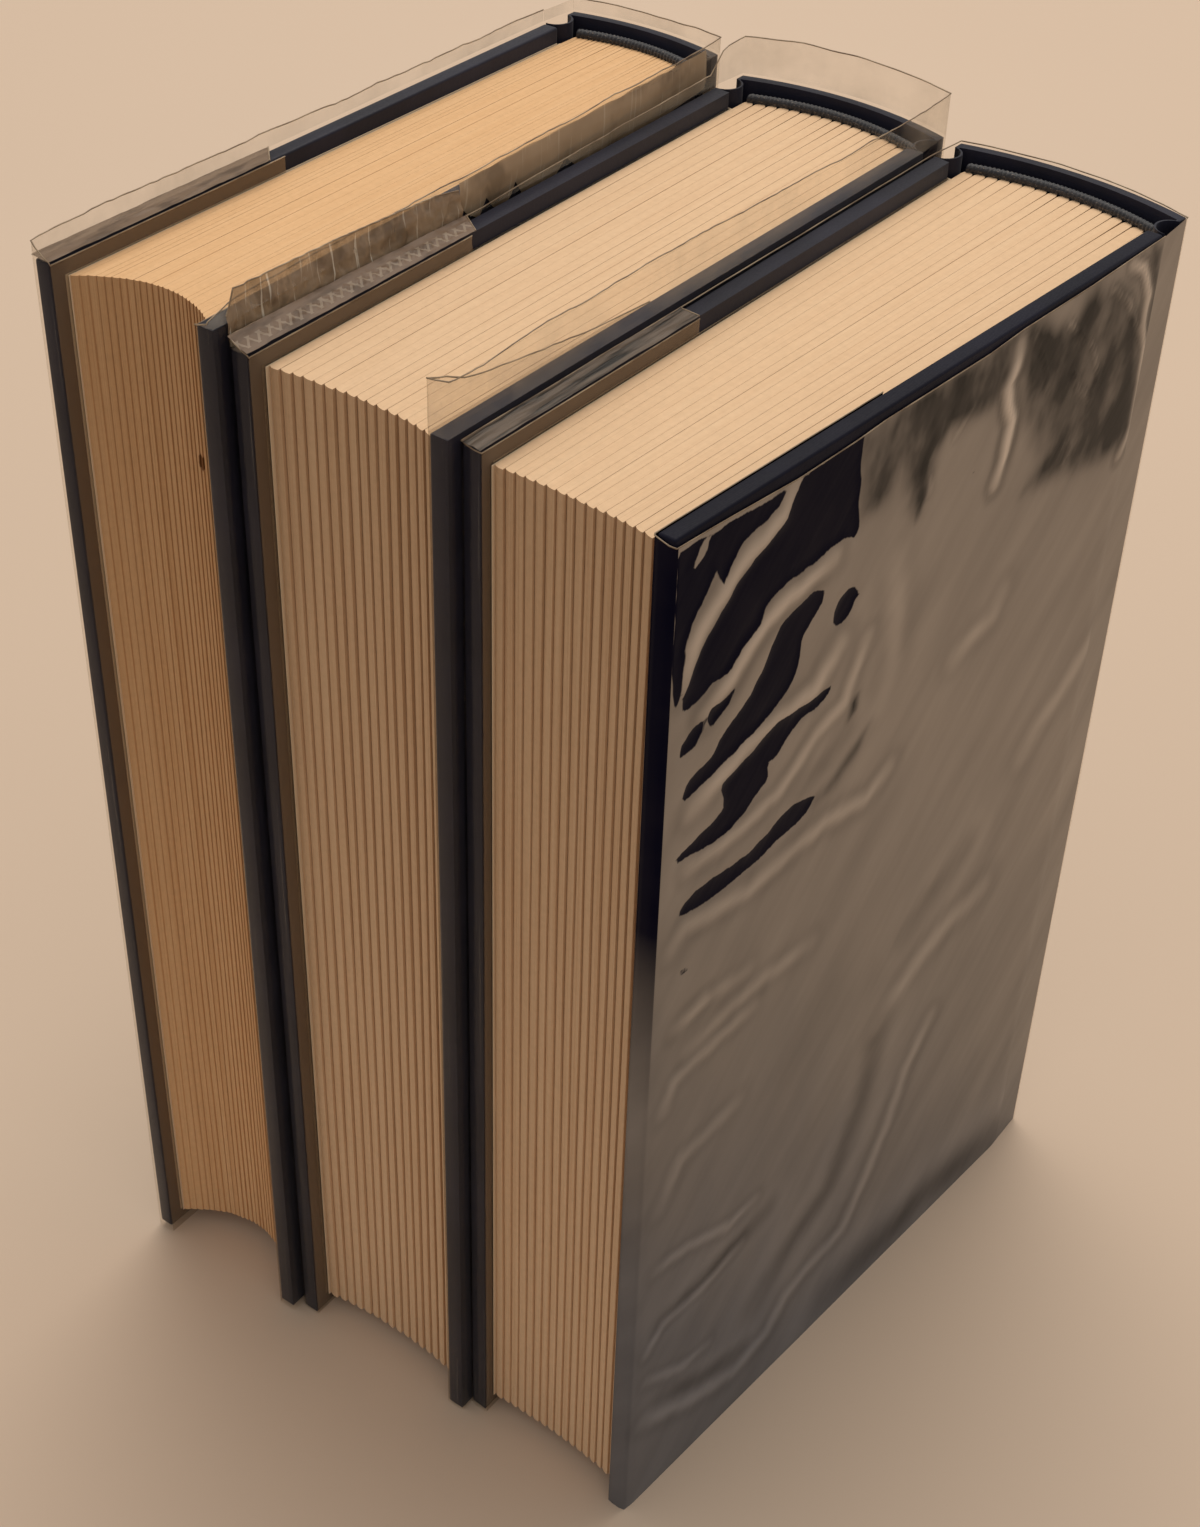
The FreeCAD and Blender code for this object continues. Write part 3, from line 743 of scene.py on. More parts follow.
def shell(name, inner, outer, low, high, materials, body, rounding):
    """A strip of even-numbered faces between two plan lines, raised from low to high."""
    count = len(inner)
    vertices = [(p.x, p.y, level * MM) for line in (inner, outer) for level in (low, high) for p in line]
    inner_low, inner_high, outer_low, outer_high = (number * count for number in range(4))
    faces = []
    for i in range(count - 1):
        faces.append((inner_low + i, inner_low + i + 1, inner_high + i + 1, inner_high + i))
        faces.append((outer_low + i + 1, outer_low + i, outer_high + i, outer_high + i + 1))
        faces.append((inner_high + i, inner_high + i + 1, outer_high + i + 1, outer_high + i))
        faces.append((inner_low + i + 1, inner_low + i, outer_low + i, outer_low + i + 1))
    end = count - 1
    faces.append((inner_low, inner_high, outer_high, outer_low))
    faces.append((inner_low + end, outer_low + end, outer_high + end, inner_high + end))
    piece = add_piece(name, vertices, faces, materials, body)
    soften(piece, rounding)
    return piece


def make_case(book):
    inner, outer = case_faces(book)
    piece = shell(f"{book.name}_case", inner, outer, book.foot, book.head, [cloth], "books",
                  EDGE_ROUND * 0.6)
    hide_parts(f"{book.name}_case_cloth")
    for (name, side), body in OPENING.items():
        if name == book.name:
            outline = path(book, side, [(0, 0), (COVER, 0), (COVER, BOARD_DEPTH), (0, BOARD_DEPTH)])
            if side == RIGHT:
                outline.reverse()
            # The right-hand opening cover gets the darker copy of the cloth as painted shade.
            skin = cloth if side == LEFT else cloth_painted_dark
            cover = extrude(f"{body}_cloth", outline, book.foot, book.head, [skin], body, EDGE_ROUND)
            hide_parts(f"{name}_{SIDE_NAMES[side]}_cover_cloth")


for book in books.values():
    make_case(book)


# Head and tail bands

BAND_RADIUS = 0.85
BAND_STEPS = 220
BAND_SIDES = 10
THREAD_PITCH = 0.75


def make_band(book, end, level, up):
    """A rolled cord wound with thread, which follows the spine over the edge of the block."""
    length = book.width(BLOCK_FACE, SHOULDER)
    vertices = []
    uvs = []
    for step in range(BAND_STEPS):
        share = 0.015 + 0.97 * step / (BAND_STEPS - 1)
        centre = book.across(share, BLOCK_FACE, book.spine_depth(share, SHOULDER) + 0.35, level + up * 0.55)
        travel = share * length
        for side in range(BAND_SIDES):
            angle = 2 * math.pi * side / BAND_SIDES
            wind = abs(math.sin(math.pi * travel / THREAD_PITCH + angle / 2))
            radius = BAND_RADIUS * (0.82 + 0.22 * wind) * MM
            vertices.append(centre + Vector((0, math.cos(angle), math.sin(angle))) * radius)
            uvs.append((travel + angle * THREAD_PITCH / math.pi, angle))
    faces = grid_faces(BAND_STEPS, BAND_SIDES, around=True)
    faces.append(tuple(range(BAND_SIDES)))
    faces.append(tuple(reversed(range((BAND_STEPS - 1) * BAND_SIDES, BAND_STEPS * BAND_SIDES))))
    node = f"{book.name}_{end}_band"
    piece = add_piece(f"{book.name}_{end}_cord", vertices, faces, [braid_material], "books", uvs)
    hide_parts(node)


braid_material = braid()
for book in books.values():
    make_band(book, "head", book.block_head, 1)
    make_band(book, "tail", book.block_foot, -1)


# Jackets

STAND_OFF = 0.28
FLAP_INSET = COVER + 0.3
WALL_ROWS = 24
RIM_ROWS = 6
EDGE_RADIUS = 0.13

# How each film stands above the head of its cover: depth, rise, and how far its free edge leans inwards.
RIMS = {
    ("left_book", LEFT): [(0, 2.7, 0.1), (14, 3.4, 0.2), (35, 3.0, 0.0), (53, 3.0, 0.2), (82, 2.5, 0.0),
                          (109, 2.6, 0.0), (130, 2.3, 0.0)],
    ("left_book", RIGHT): [(0, 1.2, 1.2), (5, 2.2, 1.6), (12, 2.7, 1.4), (30, 2.9, 1.0), (60, 2.9, 0.4),
                           (90, 3.3, 0.0), (110, 3.5, -0.2), (130, 3.0, 0.0)],
    ("middle_book", LEFT): [(0, 2.0, 0.0), (48, 1.0, 0.0), (57, 0.8, 0.0), (70, 1.2, -0.2), (95, 1.8, -0.2),
                            (121, 2.4, -0.2), (124, 6.4, 0.0), (130, 7.0, 0.0)],
    ("middle_book", RIGHT): [(0, 9.0, 0.0), (8, 8.4, 0.3), (18, 9.2, 0.2), (30, 9.2, 0.0), (45, 9.3, 0.2),
                             (60, 9.1, 0.0), (78, 8.5, 0.1), (100, 8.0, 0.0), (114, 7.6, 0.2),
                             (130, 7.6, 0.0)],
    ("right_book", LEFT): [(0, 0.4, 0.0), (130, 0.3, 0.0)],
    ("right_book", RIGHT): [(0, -1.1, 0.0), (7, -1.3, 0.0), (12, -1.5, 0.0), (26, -2.2, 0.0), (39, -2.0, 0.0),
                            (46, -1.6, 0.0), (72, -1.6, 0.0), (81, -1.0, 0.0), (100, -0.9, 0.0),
                            (118, -0.3, 0.0), (130, 0.0, 0.0)],
}
# The same for the flap inside the cover.
FLAP_RISES = {("middle_book", RIGHT): [(0, 8.2), (3, 7.2), (8, 5.0), (20, 3.0), (35, 1.0), (50, -0.2)]}
SPINE_RISES = {"left_book": 2.4, "middle_book": 7.4, "right_book": 0.3}


def follow(table, depth):
    """The row of a table at a depth, between its own rows."""
    before = table[0]
    for row in table:
        if row[0] >= depth:
            share = (depth - before[0]) / (row[0] - before[0]) if row[0] > before[0] else 0.0
            return [low + (high - low) * share for low, high in zip(before, row)]
        before = row
    return list(table[-1])


def film_line(book, side, inset, depth, u, rise, lean):
    """One upright line of film: its plan, which way is inwards, where it is along the sheet, its free end."""
    wavy = 0.22 * noise.noise((u * 0.11, book.seed, side)) + 0.12 * noise.noise((u * 0.45, book.seed, side))
    if rise > 1.5:
        rise += wavy * 1.6
    return (book.covers[side].plan(inset, depth), book.covers[side].inward, u, rise, lean)


def cover_lines(book, side, start, end, step):
    """Lines of film from the flap's end, round the fore edge and along the cover."""
    lines = []
    rims = RIMS[(book.name, side)]
    flaps = FLAP_RISES.get((book.name, side), [(0, -0.2), (50, -0.2)])
    if start < 0:
        count = 26
        for number in range(count + 1):
            depth = POCKET_DEPTH * (1 - number / count)
            rise = follow(flaps, depth)[1]
            lines.append(film_line(book, side, FLAP_INSET, depth, FLAP_AT - depth, rise, 0.0))
        turn = [(FLAP_INSET - 0.1, -0.2), (COVER * 0.75, -0.3), (COVER * 0.5, -0.3), (COVER * 0.25, -0.3)]
        for number, (inset, depth) in enumerate(turn):
            share = (number + 1) / 5
            rise = flaps[0][1] * (1 - share) + rims[0][1] * share
            lines.append(film_line(book, side, inset, depth, BEND_AT + number, rise, 0.0))
    first = max(0.0, start)
    count = round((end - first) / step)
    for number in range(count + 1):
        depth = first + (end - first) * number / count
        joint = min(1.0, max(0.0, depth - BOARD_DEPTH) / JOINT_WIDTH)
        inset = -STAND_OFF + (LIP_INSET + 0.1) * joint
        rise, lean = follow(rims, depth)[1:]
        lines.append(film_line(book, side, inset, depth, depth, rise, lean))
    return lines


def tube(points, radius, sides=4):
    """Vertices and faces of a fine cord along points, for a film's cut edge."""
    vertices = []
    for number, point in enumerate(points):
        ahead = points[min(number + 1, len(points) - 1)] - points[max(number - 1, 0)]
        across = ahead.cross(Vector((0, 0, 1)))
        across = across.normalized() if across.length > 1e-9 else Vector((1, 0, 0))
        up = across.cross(ahead).normalized()
        for side in range(sides):
            angle = 2 * math.pi * side / sides
            vertices.append(point + (across * math.cos(angle) + up * math.sin(angle)) * radius * MM)
    return vertices, grid_faces(len(points), sides, around=True)


def film_piece(name, vertices, faces, uvs, edge, materials, body, node):
    """A film sheet with a cord along the points of its free edge, if any, in its last material."""
    slots = [0] * len(faces)
    if edge:
        more, strips = tube(edge, EDGE_RADIUS)
        first = len(vertices)
        vertices += more
        uvs += [(0.0, 0.0)] * len(more)
        faces += [tuple(first + corner for corner in face) for face in strips]
        slots += [1] * len(strips)
    piece = add_piece(name, vertices, faces, materials, body, uvs, slots)
    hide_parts(node)
    return piece


def film_wall(name, book, lines, body, node, material):
    """Film along upright lines, from the surface that the books stand on to its own free edge."""
    vertices = []
    uvs = []
    for row in range(WALL_ROWS + RIM_ROWS):
        for place, inward, u, rise, lean in lines:
            if row < WALL_ROWS:
                level = (book.head + min(rise, 0.0)) * row / (WALL_ROWS - 1)
                offset = 0.0
            else:
                part = (row - WALL_ROWS + 1) / RIM_ROWS
                level = book.head + min(rise, 0.0) + max(rise, 0.02) * part
                offset = lean * part ** 1.4
            wobble = 0.12 * (0.5 + noise.noise((u * 0.08, level * 0.03, book.seed)))
            spot = place + inward * (offset - wobble * (1 if u > CORNER_AT else -0.5))
            vertices.append(Vector((spot.x, spot.y, level * MM)))
            uvs.append((u, level - book.head))
    faces = grid_faces(WALL_ROWS + RIM_ROWS, len(lines))
    film_piece(name, vertices, faces, uvs, vertices[-len(lines):], [material, film_edge], body, node)


def joint_strip(book, side, body, material):
    """The film across an opening cover's joint, between the cover and the rest."""
    lines = cover_lines(book, side, BOARD_DEPTH, CASE_DEPTH, 0.8)
    vertices = []
    uvs = []
    rows = 50
    for row in range(rows):
        for place, inward, u, rise, lean in lines:
            level = (book.head + rise) * row / (rows - 1)
            vertices.append(Vector((place.x, place.y, level * MM)))
            uvs.append((u, level if material == film_cover else level - book.head))
    strip = new_object(f"{body}_joint_film", vertices, grid_faces(rows, len(lines)), [material], uvs)
    store(strip, "cling", [-3.0] * len(vertices))
    tuple(book.point(side, -STAND_OFF, BOARD_DEPTH, 100.0))
    tuple(book.point(side, -STAND_OFF, CASE_DEPTH, 100.0))
    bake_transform(strip)
    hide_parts(f"{book.name}_jacket")


def make_jacket(book):
    fixed = []
    for side in (LEFT, RIGHT):
        body = OPENING.get((book.name, side))
        if body:
            node = f"{book.name}_{SIDE_NAMES[side]}_jacket_panel"
            if side == LEFT:
                lines = cover_lines(book, side, -1, BOARD_DEPTH, 1.5)
                film_wall(f"{body}_film", book, lines, body, node, film_clear)
            else:
                cover_film(book, side, body, node)
            joint_strip(book, side, body, film_clear if side == LEFT else film_cover)
            fixed.append(cover_lines(book, side, CASE_DEPTH, CASE_DEPTH + STAND_OFF, STAND_OFF))
        else:
            fixed.append(cover_lines(book, side, -1, CASE_DEPTH + STAND_OFF, 1.5))
    left_lines, right_lines = fixed
    start, finish = left_lines[-1], right_lines[-1]
    points = arc(start[0], finish[0], -(book.spine_bulge + 0.15) * MM, 24)[:-1]
    rises = SPINE_RISES[book.name]
    around = []
    for number, point in enumerate(points):
        share = (number + 1) / len(points)
        ends = start[3] * (1 - share) + finish[3] * share
        bulge = 4 * share * (1 - share)
        rise = ends * (1 - bulge) + rises * bulge + 0.25 * noise.noise((number * 0.3, book.seed, 7.0))
        around.append((point, Vector((0, -1)) * MM, CASE_DEPTH + 2 + number, rise, 0.0))
    film_wall(f"{book.name}_film", book, left_lines + around + list(reversed(right_lines)), "books",
              f"{book.name}_jacket", film_clear)


# Where the right book's back cover film clings to the cloth, as outlines in depth and height.
CLINGS = [
    [(0.3, 206.1), (6.8, 205.8), (15.9, 205.4), (23.8, 205.5), (22.2, 203.7), (19.1, 202.2), (14.3, 201),
     (11.7, 198.9), (10.4, 196.1), (8.6, 199.4), (6.9, 196.5), (5, 194.3), (4.3, 193.8), (2.8, 189.5),
     (2.5, 182), (1.3, 180.1), (0.3, 186.9)],
    [(26.7, 205.6), (32.7, 205.9), (40.7, 206.2), (40.6, 202.6), (41.1, 197), (42, 191), (41.3, 189.4),
     (38, 190.4), (31.8, 189.7), (25.8, 189.4), (20.7, 187.5), (19.6, 185.4), (16, 183.2), (13.2, 180.6),
     (11.4, 180.2), (9.4, 180.9), (7.3, 179.7), (4.7, 178.8), (3, 178.9), (3.1, 181.5), (4.6, 184.6),
     (5.9, 187.4), (7.9, 189.7), (10.1, 191.7), (13.1, 194.5), (16.8, 197), (20.2, 198.5), (24, 200.4),
     (25.8, 203.8)],
    [(35, 183.6), (31.6, 184.3), (27.7, 183.7), (23.9, 182.1), (22.9, 180.2), (21.3, 176.9), (18.6, 173.6),
     (14.9, 171.4), (12, 169.4), (10.6, 167.4), (7.2, 166.6), (5, 166.1), (4.2, 163.5), (4.9, 162.4),
     (8.6, 163.3), (11.7, 164), (15.5, 164.9), (20.2, 166), (24.8, 167.7), (27.8, 169.8), (29.2, 171.5),
     (30.1, 174.1), (30.1, 177.1), (32.3, 179.6), (34.5, 181.5)],
    [(15.1, 176.7), (11.3, 176.3), (9, 176.4), (8.4, 174.7), (9.7, 172.8), (11.6, 173.5), (13.4, 174.6)],
    [(7.8, 175.2), (5.1, 174.5), (3.2, 173.2), (2.9, 171.3), (4.6, 171.2), (6.4, 171.6), (7.9, 173.5)],
    [(44.1, 178.3), (42.6, 179.8), (40.4, 180.6), (38.8, 179.9), (37.6, 178.1), (37.5, 176.6),
     (38.7, 174.8), (40.4, 174.8), (41.6, 175.8), (43, 177.5)],
    [(39.6, 164.5), (36.9, 164.3), (32.6, 164.4), (28.4, 164.8), (25.1, 164.7), (22.8, 163.9),
     (19.7, 162.5), (16.6, 161.8), (13.5, 161.1), (13.2, 159.6), (14.2, 157.5), (14, 155.7), (11.7, 154.5),
     (7.9, 153.6), (4.4, 153.2), (3.4, 152.5), (4.1, 151.6), (7.3, 151.4), (12.1, 150.4), (16.1, 150.5),
     (19.2, 151.9), (22.3, 153.3), (24.6, 155.2), (24.3, 157.9), (26.7, 158.5), (29, 160.4), (32.1, 161.8),
     (35.5, 161.8), (38.3, 162.8)],
    [(37.9, 144), (35.2, 145), (31.6, 145.7), (29.1, 145.2), (25.9, 143.8), (21.8, 143), (17.6, 142.9),
     (12.7, 143.4), (8.7, 143.3), (6, 142.4), (4.7, 141.2), (5.7, 140.4), (9, 139.7), (13.9, 139.2),
     (18, 139.3), (22.2, 139.4), (26.3, 140.2), (29.6, 140.8), (33.1, 140.8), (36.4, 142.2)],
    [(8.6, 128.6), (6.4, 129), (6.1, 128.1), (7.9, 127.6)],
    [(72, 186.8), (71.1, 186.3), (71, 185.6), (71.7, 185.9)],
]
# A slit of raised film inside the first of them.
SLIT = [(7.0, 206.1), (6.3, 203.3), (4.0, 202.0), (3.5, 202.6), (4.8, 204.5)]

# Folds and hollows in the same film: strength, half width, and the places along it. They raise and lower the
# sheet, and the cover film also paints a highlight along each fold's crest and shade beside it and in
# hollows.
FOLDS = [
    (0.34, 2, [(36, 188.3), (33.6, 187.7), (27.3, 186.8), (21.2, 185.2), (16.9, 182.2), (13.4, 178.8),
     (8.3, 176.2)]),
    (0.3, 2.2, [(25.6, 205.2), (23.2, 201.4), (18.7, 199.5), (13.5, 197.5), (9.9, 194.5), (5.9, 191.2),
     (4.3, 188.8), (3.1, 183.7)]),
    (0.26, 2.2, [(40.1, 171.3), (34.1, 165.8), (26.7, 165.4), (19.5, 164.5), (12.6, 162.2), (6.6, 160.2)]),
    (0.1, 3, [(52.5, 179.8), (54.8, 169.4), (55.2, 159.6), (52.7, 153)]),
    (0.22, 1.7, [(47.4, 168.8), (44.7, 163.9), (42.8, 159.1), (36.2, 157), (31.6, 153.1), (26.8, 150.6),
     (20.3, 149.3), (13.8, 148.6), (6.6, 149.2)]),
    (0.2, 2, [(58.1, 137.7), (52, 134.9), (40.7, 136.8), (32, 136), (22.6, 135), (14.1, 136.3),
     (6.7, 137.8), (3.7, 135.1)]),
    (0.14, 2, [(40.5, 111.5), (29.5, 112.3), (20.7, 111.8), (13.9, 110.7), (9.7, 110)]),
    (0.12, 1.8, [(23.6, 117.1), (13.2, 118.6), (7.5, 116.8)]),
    (0.15, 2.4, [(86.3, 157.6), (84.2, 153.9), (77.5, 152.6), (73.8, 151.1)]),
    (0.13, 3, [(124.2, 131.4), (119.9, 128.4), (113.4, 122.7), (106.5, 118.9), (103.1, 114.6)]),
    (0.16, 3, [(96, 87.5), (85.2, 86.3), (77.1, 83.4), (71.3, 79.8), (65.8, 75.3)]),
    (0.2, 2.2, [(83.9, 63.4), (77.9, 54.6), (74.4, 43.8), (69.5, 33.8), (62.6, 22.4), (52.1, 20.9),
     (45.1, 18.5), (40.6, 12.9), (30.6, 10.4), (18.4, 14.5), (3.7, 22.4)]),
    (0.2, 1.5, [(31.8, 57), (24.3, 56.4), (12.9, 61), (4.9, 62.1)]),
    (0.22, 1.4, [(28.9, 48), (18.8, 45.3), (7.7, 45.5), (3.5, 41.4)]),
    (0.18, 1.4, [(21.2, 27.3), (13.6, 28), (4, 33.5)]),
    (0.17, 1.8, [(26.3, 107.9), (15.3, 107), (6.2, 105.7), (4.1, 100.6)]),
    (0.16, 1.6, [(12.6, 118.4), (5.4, 117.9)]),
    (0.14, 2, [(24, 87.4), (9.3, 85.5), (4.8, 77.3)]),
    (-0.16, 4.5, [(67, 74.8), (63.7, 56.6), (55.9, 39.5), (46.2, 34.7), (35.1, 25.7)]),
    (-0.16, 3, [(36.6, 50.5), (25.3, 48.7), (14.3, 47), (7.1, 46.6)]),
    (-0.15, 2.6, [(32.3, 15.8), (20.3, 18.6), (8.3, 25.6)]),
    (-0.22, 7, [(121.6, 3.2), (94.9, 6.9), (77.6, 5.4), (60.6, 6.4)]),
    (-0.14, 4, [(87.1, 103), (80.4, 99.3), (71, 93.3)]),
    (-0.16, 3, [(44, 153), (38, 149.5), (33, 147)]),
    (0.55, 1.6, [(81.1, 204.5), (80.1, 201.3), (78, 198.8), (80.6, 191.7), (80.1, 186.1), (78.6, 181.6)]),
    (0.3, 0.5, [(84, 204.9), (88.5, 199.2), (91.2, 192.3)]),
    (0.34, 0.5, [(93.9, 203.2), (102.7, 195.9), (106.7, 189), (104.7, 185.6), (99.5, 190.1),
     (97.3, 194.5)]),
    (0.25, 0.5, [(93.7, 197.1), (91.4, 195.1)]),
    (0.36, 0.6, [(106.2, 204), (112.2, 200.6), (118.1, 191.7)]),
    (0.5, 1.2, [(112.1, 206.2), (116.1, 204.1), (118.8, 199.1), (118.6, 193.3), (121.1, 188.9),
     (121.4, 173.1), (118.9, 169.1)]),
    (0.3, 0.5, [(101.8, 178.2), (99.3, 180.3), (96.8, 178.2), (99.3, 176), (101.8, 178.2)]),
    (0.24, 0.9, [(60.2, 198.4), (57.6, 193), (59.4, 189)]),
    (0.22, 0.7, [(66, 203.5), (69, 199), (65, 196)]),
]
# Smoky areas, where the film lies close but not flat: outline, strength, and how softly it ends.
SMOKES = [
    ([(81.3, 205.9), (83.6, 207.1), (89.9, 204.2), (96.2, 201.8), (99, 205.2), (101.7, 205.9),
     (111.5, 202.9), (116.4, 197.1), (117.9, 190.5), (120.2, 181.7), (121.2, 173.6), (118.4, 170.6),
     (108.7, 171.6), (99.9, 174.2), (93.2, 175.2), (89.8, 175.7), (88.3, 175.7), (91.4, 180.4),
     (87.9, 186.7), (84.9, 191.5), (82.1, 198.9)], 0.75, 2.2),
    ([(118.1, 207.4), (121.4, 205.7), (121.5, 196.5), (121.4, 190.1), (121, 192.4), (121.1, 198.2),
     (118.2, 203.9)], 0.9, 1.2),
    ([(40.4, 205.8), (53, 206.8), (63.1, 206.4), (72.5, 206.5), (79.3, 207), (77.9, 201.1), (74.5, 196.9),
     (68.2, 197.3), (62.8, 198.4), (59.4, 194.4), (57.6, 186.1), (54.6, 188.6), (51.4, 196.7),
     (48.1, 192.7), (42.4, 192.5)], 0.85, 2.2),
    ([(58.2, 199), (56.8, 194), (56.2, 187), (57.2, 184.5), (58.8, 188)], 0.7, 0.8),
    ([(70, 204.5), (71.5, 200), (68.5, 196.5), (66.8, 199)], 0.8, 1),
    ([(46.9, 158.6), (45.3, 158.2), (44.6, 154.6), (46.2, 155.6)], 0.8, 0.9),
    ([(50.6, 151), (46, 147.5), (40.5, 144.6), (37, 143.6), (38, 141.8), (43.5, 143.4), (49, 147.4)],
     0.6, 1.4),
]


def segment_distance(x, y, a, b):
    dx, dy = b[0] - a[0], b[1] - a[1]
    length = dx * dx + dy * dy
    part = min(1.0, max(0.0, ((x - a[0]) * dx + (y - a[1]) * dy) / length)) if length else 0.0
    return math.hypot(x - a[0] - part * dx, y - a[1] - part * dy)


def inside_by(x, y, outline, reach):
    """How far a place is inside an outline, negative outside, and -reach where it is far away."""
    if not outline[1][0] - reach < x < outline[1][1] + reach:
        return -reach
    if not outline[2][0] - reach < y < outline[2][1] + reach:
        return -reach
    corners = outline[0]
    nearest = reach
    within = False
    for a, b in zip(corners, corners[1:] + corners[:1]):
        nearest = min(nearest, segment_distance(x, y, a, b))
        if (a[1] > y) != (b[1] > y) and x < (b[0] - a[0]) * (y - a[1]) / (b[1] - a[1]) + a[0]:
            within = not within
    return nearest if within else -nearest


def bounded(corners):
    xs, ys = zip(*corners)
    return corners, (min(xs), max(xs)), (min(ys), max(ys))


CLING_SHAPES = [bounded(corners) for corners in CLINGS]
SLIT_SHAPE = bounded(SLIT)
SMOKE_SHAPES = [(bounded(corners), strength, soft) for corners, strength, soft in SMOKES]
FOLD_LINES = [(strength, width, bounded(corners)) for strength, width, corners in FOLDS]


def film_state(depth, level):
    """How far inside a clinging patch, how folded and how smoky the cover's film is at a place."""
    x = depth + 0.5 * noise.noise((depth * 0.3, level * 0.3, 2.0))
    y = level + 0.5 * noise.noise((depth * 0.3, level * 0.3, 8.0))
    cling = max(inside_by(x, y, shape, 3.0) for shape in CLING_SHAPES)
    cling = min(cling, -inside_by(x, y, SLIT_SHAPE, 3.0))
    # tone: how far the film is raised at folds, which the cover film also uses as painted highlight and
    # shade.
    tone = 0.0
    for strength, width, (corners, across, up) in FOLD_LINES:
        reach = width * 2.4
        if across[0] - reach < x < across[1] + reach and up[0] - reach < y < up[1] + reach:
            distance = min(segment_distance(x, y, a, b) for a, b in zip(corners, corners[1:]))
            from_end = min(math.dist((x, y), corners[0]), math.dist((x, y), corners[-1]))
            ends = min(1.0, 0.35 + from_end / (4 * width))
            crest = distance / (0.75 * width)
            tone += strength * ends * (math.exp(-crest ** 2) - 0.4 * math.exp(-(crest - 1.8) ** 2))
    smoke = 0.0
    for shape, strength, soft in SMOKE_SHAPES:
        depth_in = inside_by(x, y, shape, 3 * soft)
        smoke = max(smoke, strength / (1 + math.exp(-depth_in * 2.4 / soft)) if depth_in > -3 * soft else 0.0)
    return cling, tone, smoke


def cover_film(book, side, body, node):
    """The film of the cover in full view, with the patches where it clings and its folds."""
    lines = cover_lines(book, side, -1, BOARD_DEPTH, 0.8)
    rows = 230
    vertices, uvs, clings, tones, smokes = [], [], [], [], []
    for row in range(rows):
        for place, inward, u, rise, lean in lines:
            level = (book.head + rise) * row / (rows - 1)
            cling, tone, smoke = film_state(u, level) if u >= 0 else (-3.0, 0.0, 0.0)
            close = min(1.0, max(0.0, 0.5 + cling * 0.6))
            free = 0.25 * (1 - close) + 0.5 * tone
            at_rim = min(1.0, (rows - 1 - row) / 8, max(0.0, u) / 2, (BOARD_DEPTH - u) / 2)
            spot = place - inward * free * at_rim
            vertices.append(Vector((spot.x, spot.y, level * MM)))
            uvs.append((u, level))
            clings.append(cling)
            tones.append(tone)
            smokes.append(smoke)
    count = len(vertices)
    piece = film_piece(f"{body}_film", vertices, grid_faces(rows, len(lines)), uvs, vertices[-len(lines):],
                       [film_cover, film_edge], body, node)
    for name, values, rest in (("cling", clings, -3.0), ("tone", tones, 0.0), ("smoke", smokes, 0.0)):
        store(piece, name, values + [rest] * (len(vertices) - count))


def head_sheet(name, book, side, length, cut, step, heights, ripple, material, node, weld=False):
    """The welded pocket's film over the head of a board: depth step, heights at its outer and inner edges."""
    vertices, uvs = [], []
    rows = 18
    columns = round(length / step) + 1
    for row in range(rows):
        part = row / (rows - 1)
        inset = -STAND_OFF + (FLAP_INSET + STAND_OFF) * part
        for column in range(columns):
            depth = -0.3 + (length - cut * part + 0.3) * column / (columns - 1)
            outer, inner = follow(heights, depth)[1:]
            rise = outer + (inner - outer) * part ** 0.8
            rise += ripple * noise.noise((depth * 0.22, inset * 0.8, book.seed))
            rise += ripple * 0.5 * noise.noise((depth * 0.7, inset * 1.7, book.seed))
            if weld and 4.5 < depth < length - 6:
                beside = max(0.0, 1 - abs(inset - 1.7) / 0.95)
                crossing = abs(math.sin(math.pi * (depth + inset * 0.9) / 1.3)) ** 6
                crossing += abs(math.sin(math.pi * (depth - inset * 0.9) / 2.6)) ** 8
                rise += 0.16 * beside * crossing
            vertices.append(book.point(side, inset, depth, book.head + max(0.12, rise)))
            uvs.append((depth, inset))
    end = vertices[columns - 1::columns]
    body = OPENING.get((book.name, side), "books")
    film_piece(name, vertices, grid_faces(rows, columns), uvs, end, [material, film_edge], body, node)


def crinkled_strip(book, side):
    """The loose edge of the pocket's film, which stands above the board and leans outwards."""
    table = [(0, 4.4, -0.4), (3, 7.6, -1.3), (15, 7.2, -1.4), (26, 6.9, -1.3), (37, 6.3, -1.2),
             (47, 5.8, -1.0), (53, 4.8, -0.8)]
    vertices, uvs = [], []
    rows, columns = 16, 110
    for row in range(rows):
        part = row / (rows - 1)
        for column in range(columns):
            depth = 0.2 + 52.0 * column / (columns - 1)
            rise, lean = follow(table, depth)[1:]
            ripple = 0.55 * noise.noise((depth * 0.55, part * 2.1, 5.0))
            ripple += 0.22 * noise.noise((depth * 1.4, part * 4, 9.0))
            ripple *= min(1.0, part * 3)
            vertices.append(book.point(side, -0.35 + lean * part + ripple, depth,
                                       book.head + 0.2 + rise * part + 0.4 * ripple))
            uvs.append((depth, part))
    film_piece(f"{book.name}_film_crinkle", vertices, grid_faces(rows, columns), uvs, vertices[-columns:],
               [film_crinkled, film_edge], "books", f"{book.name}_jacket")


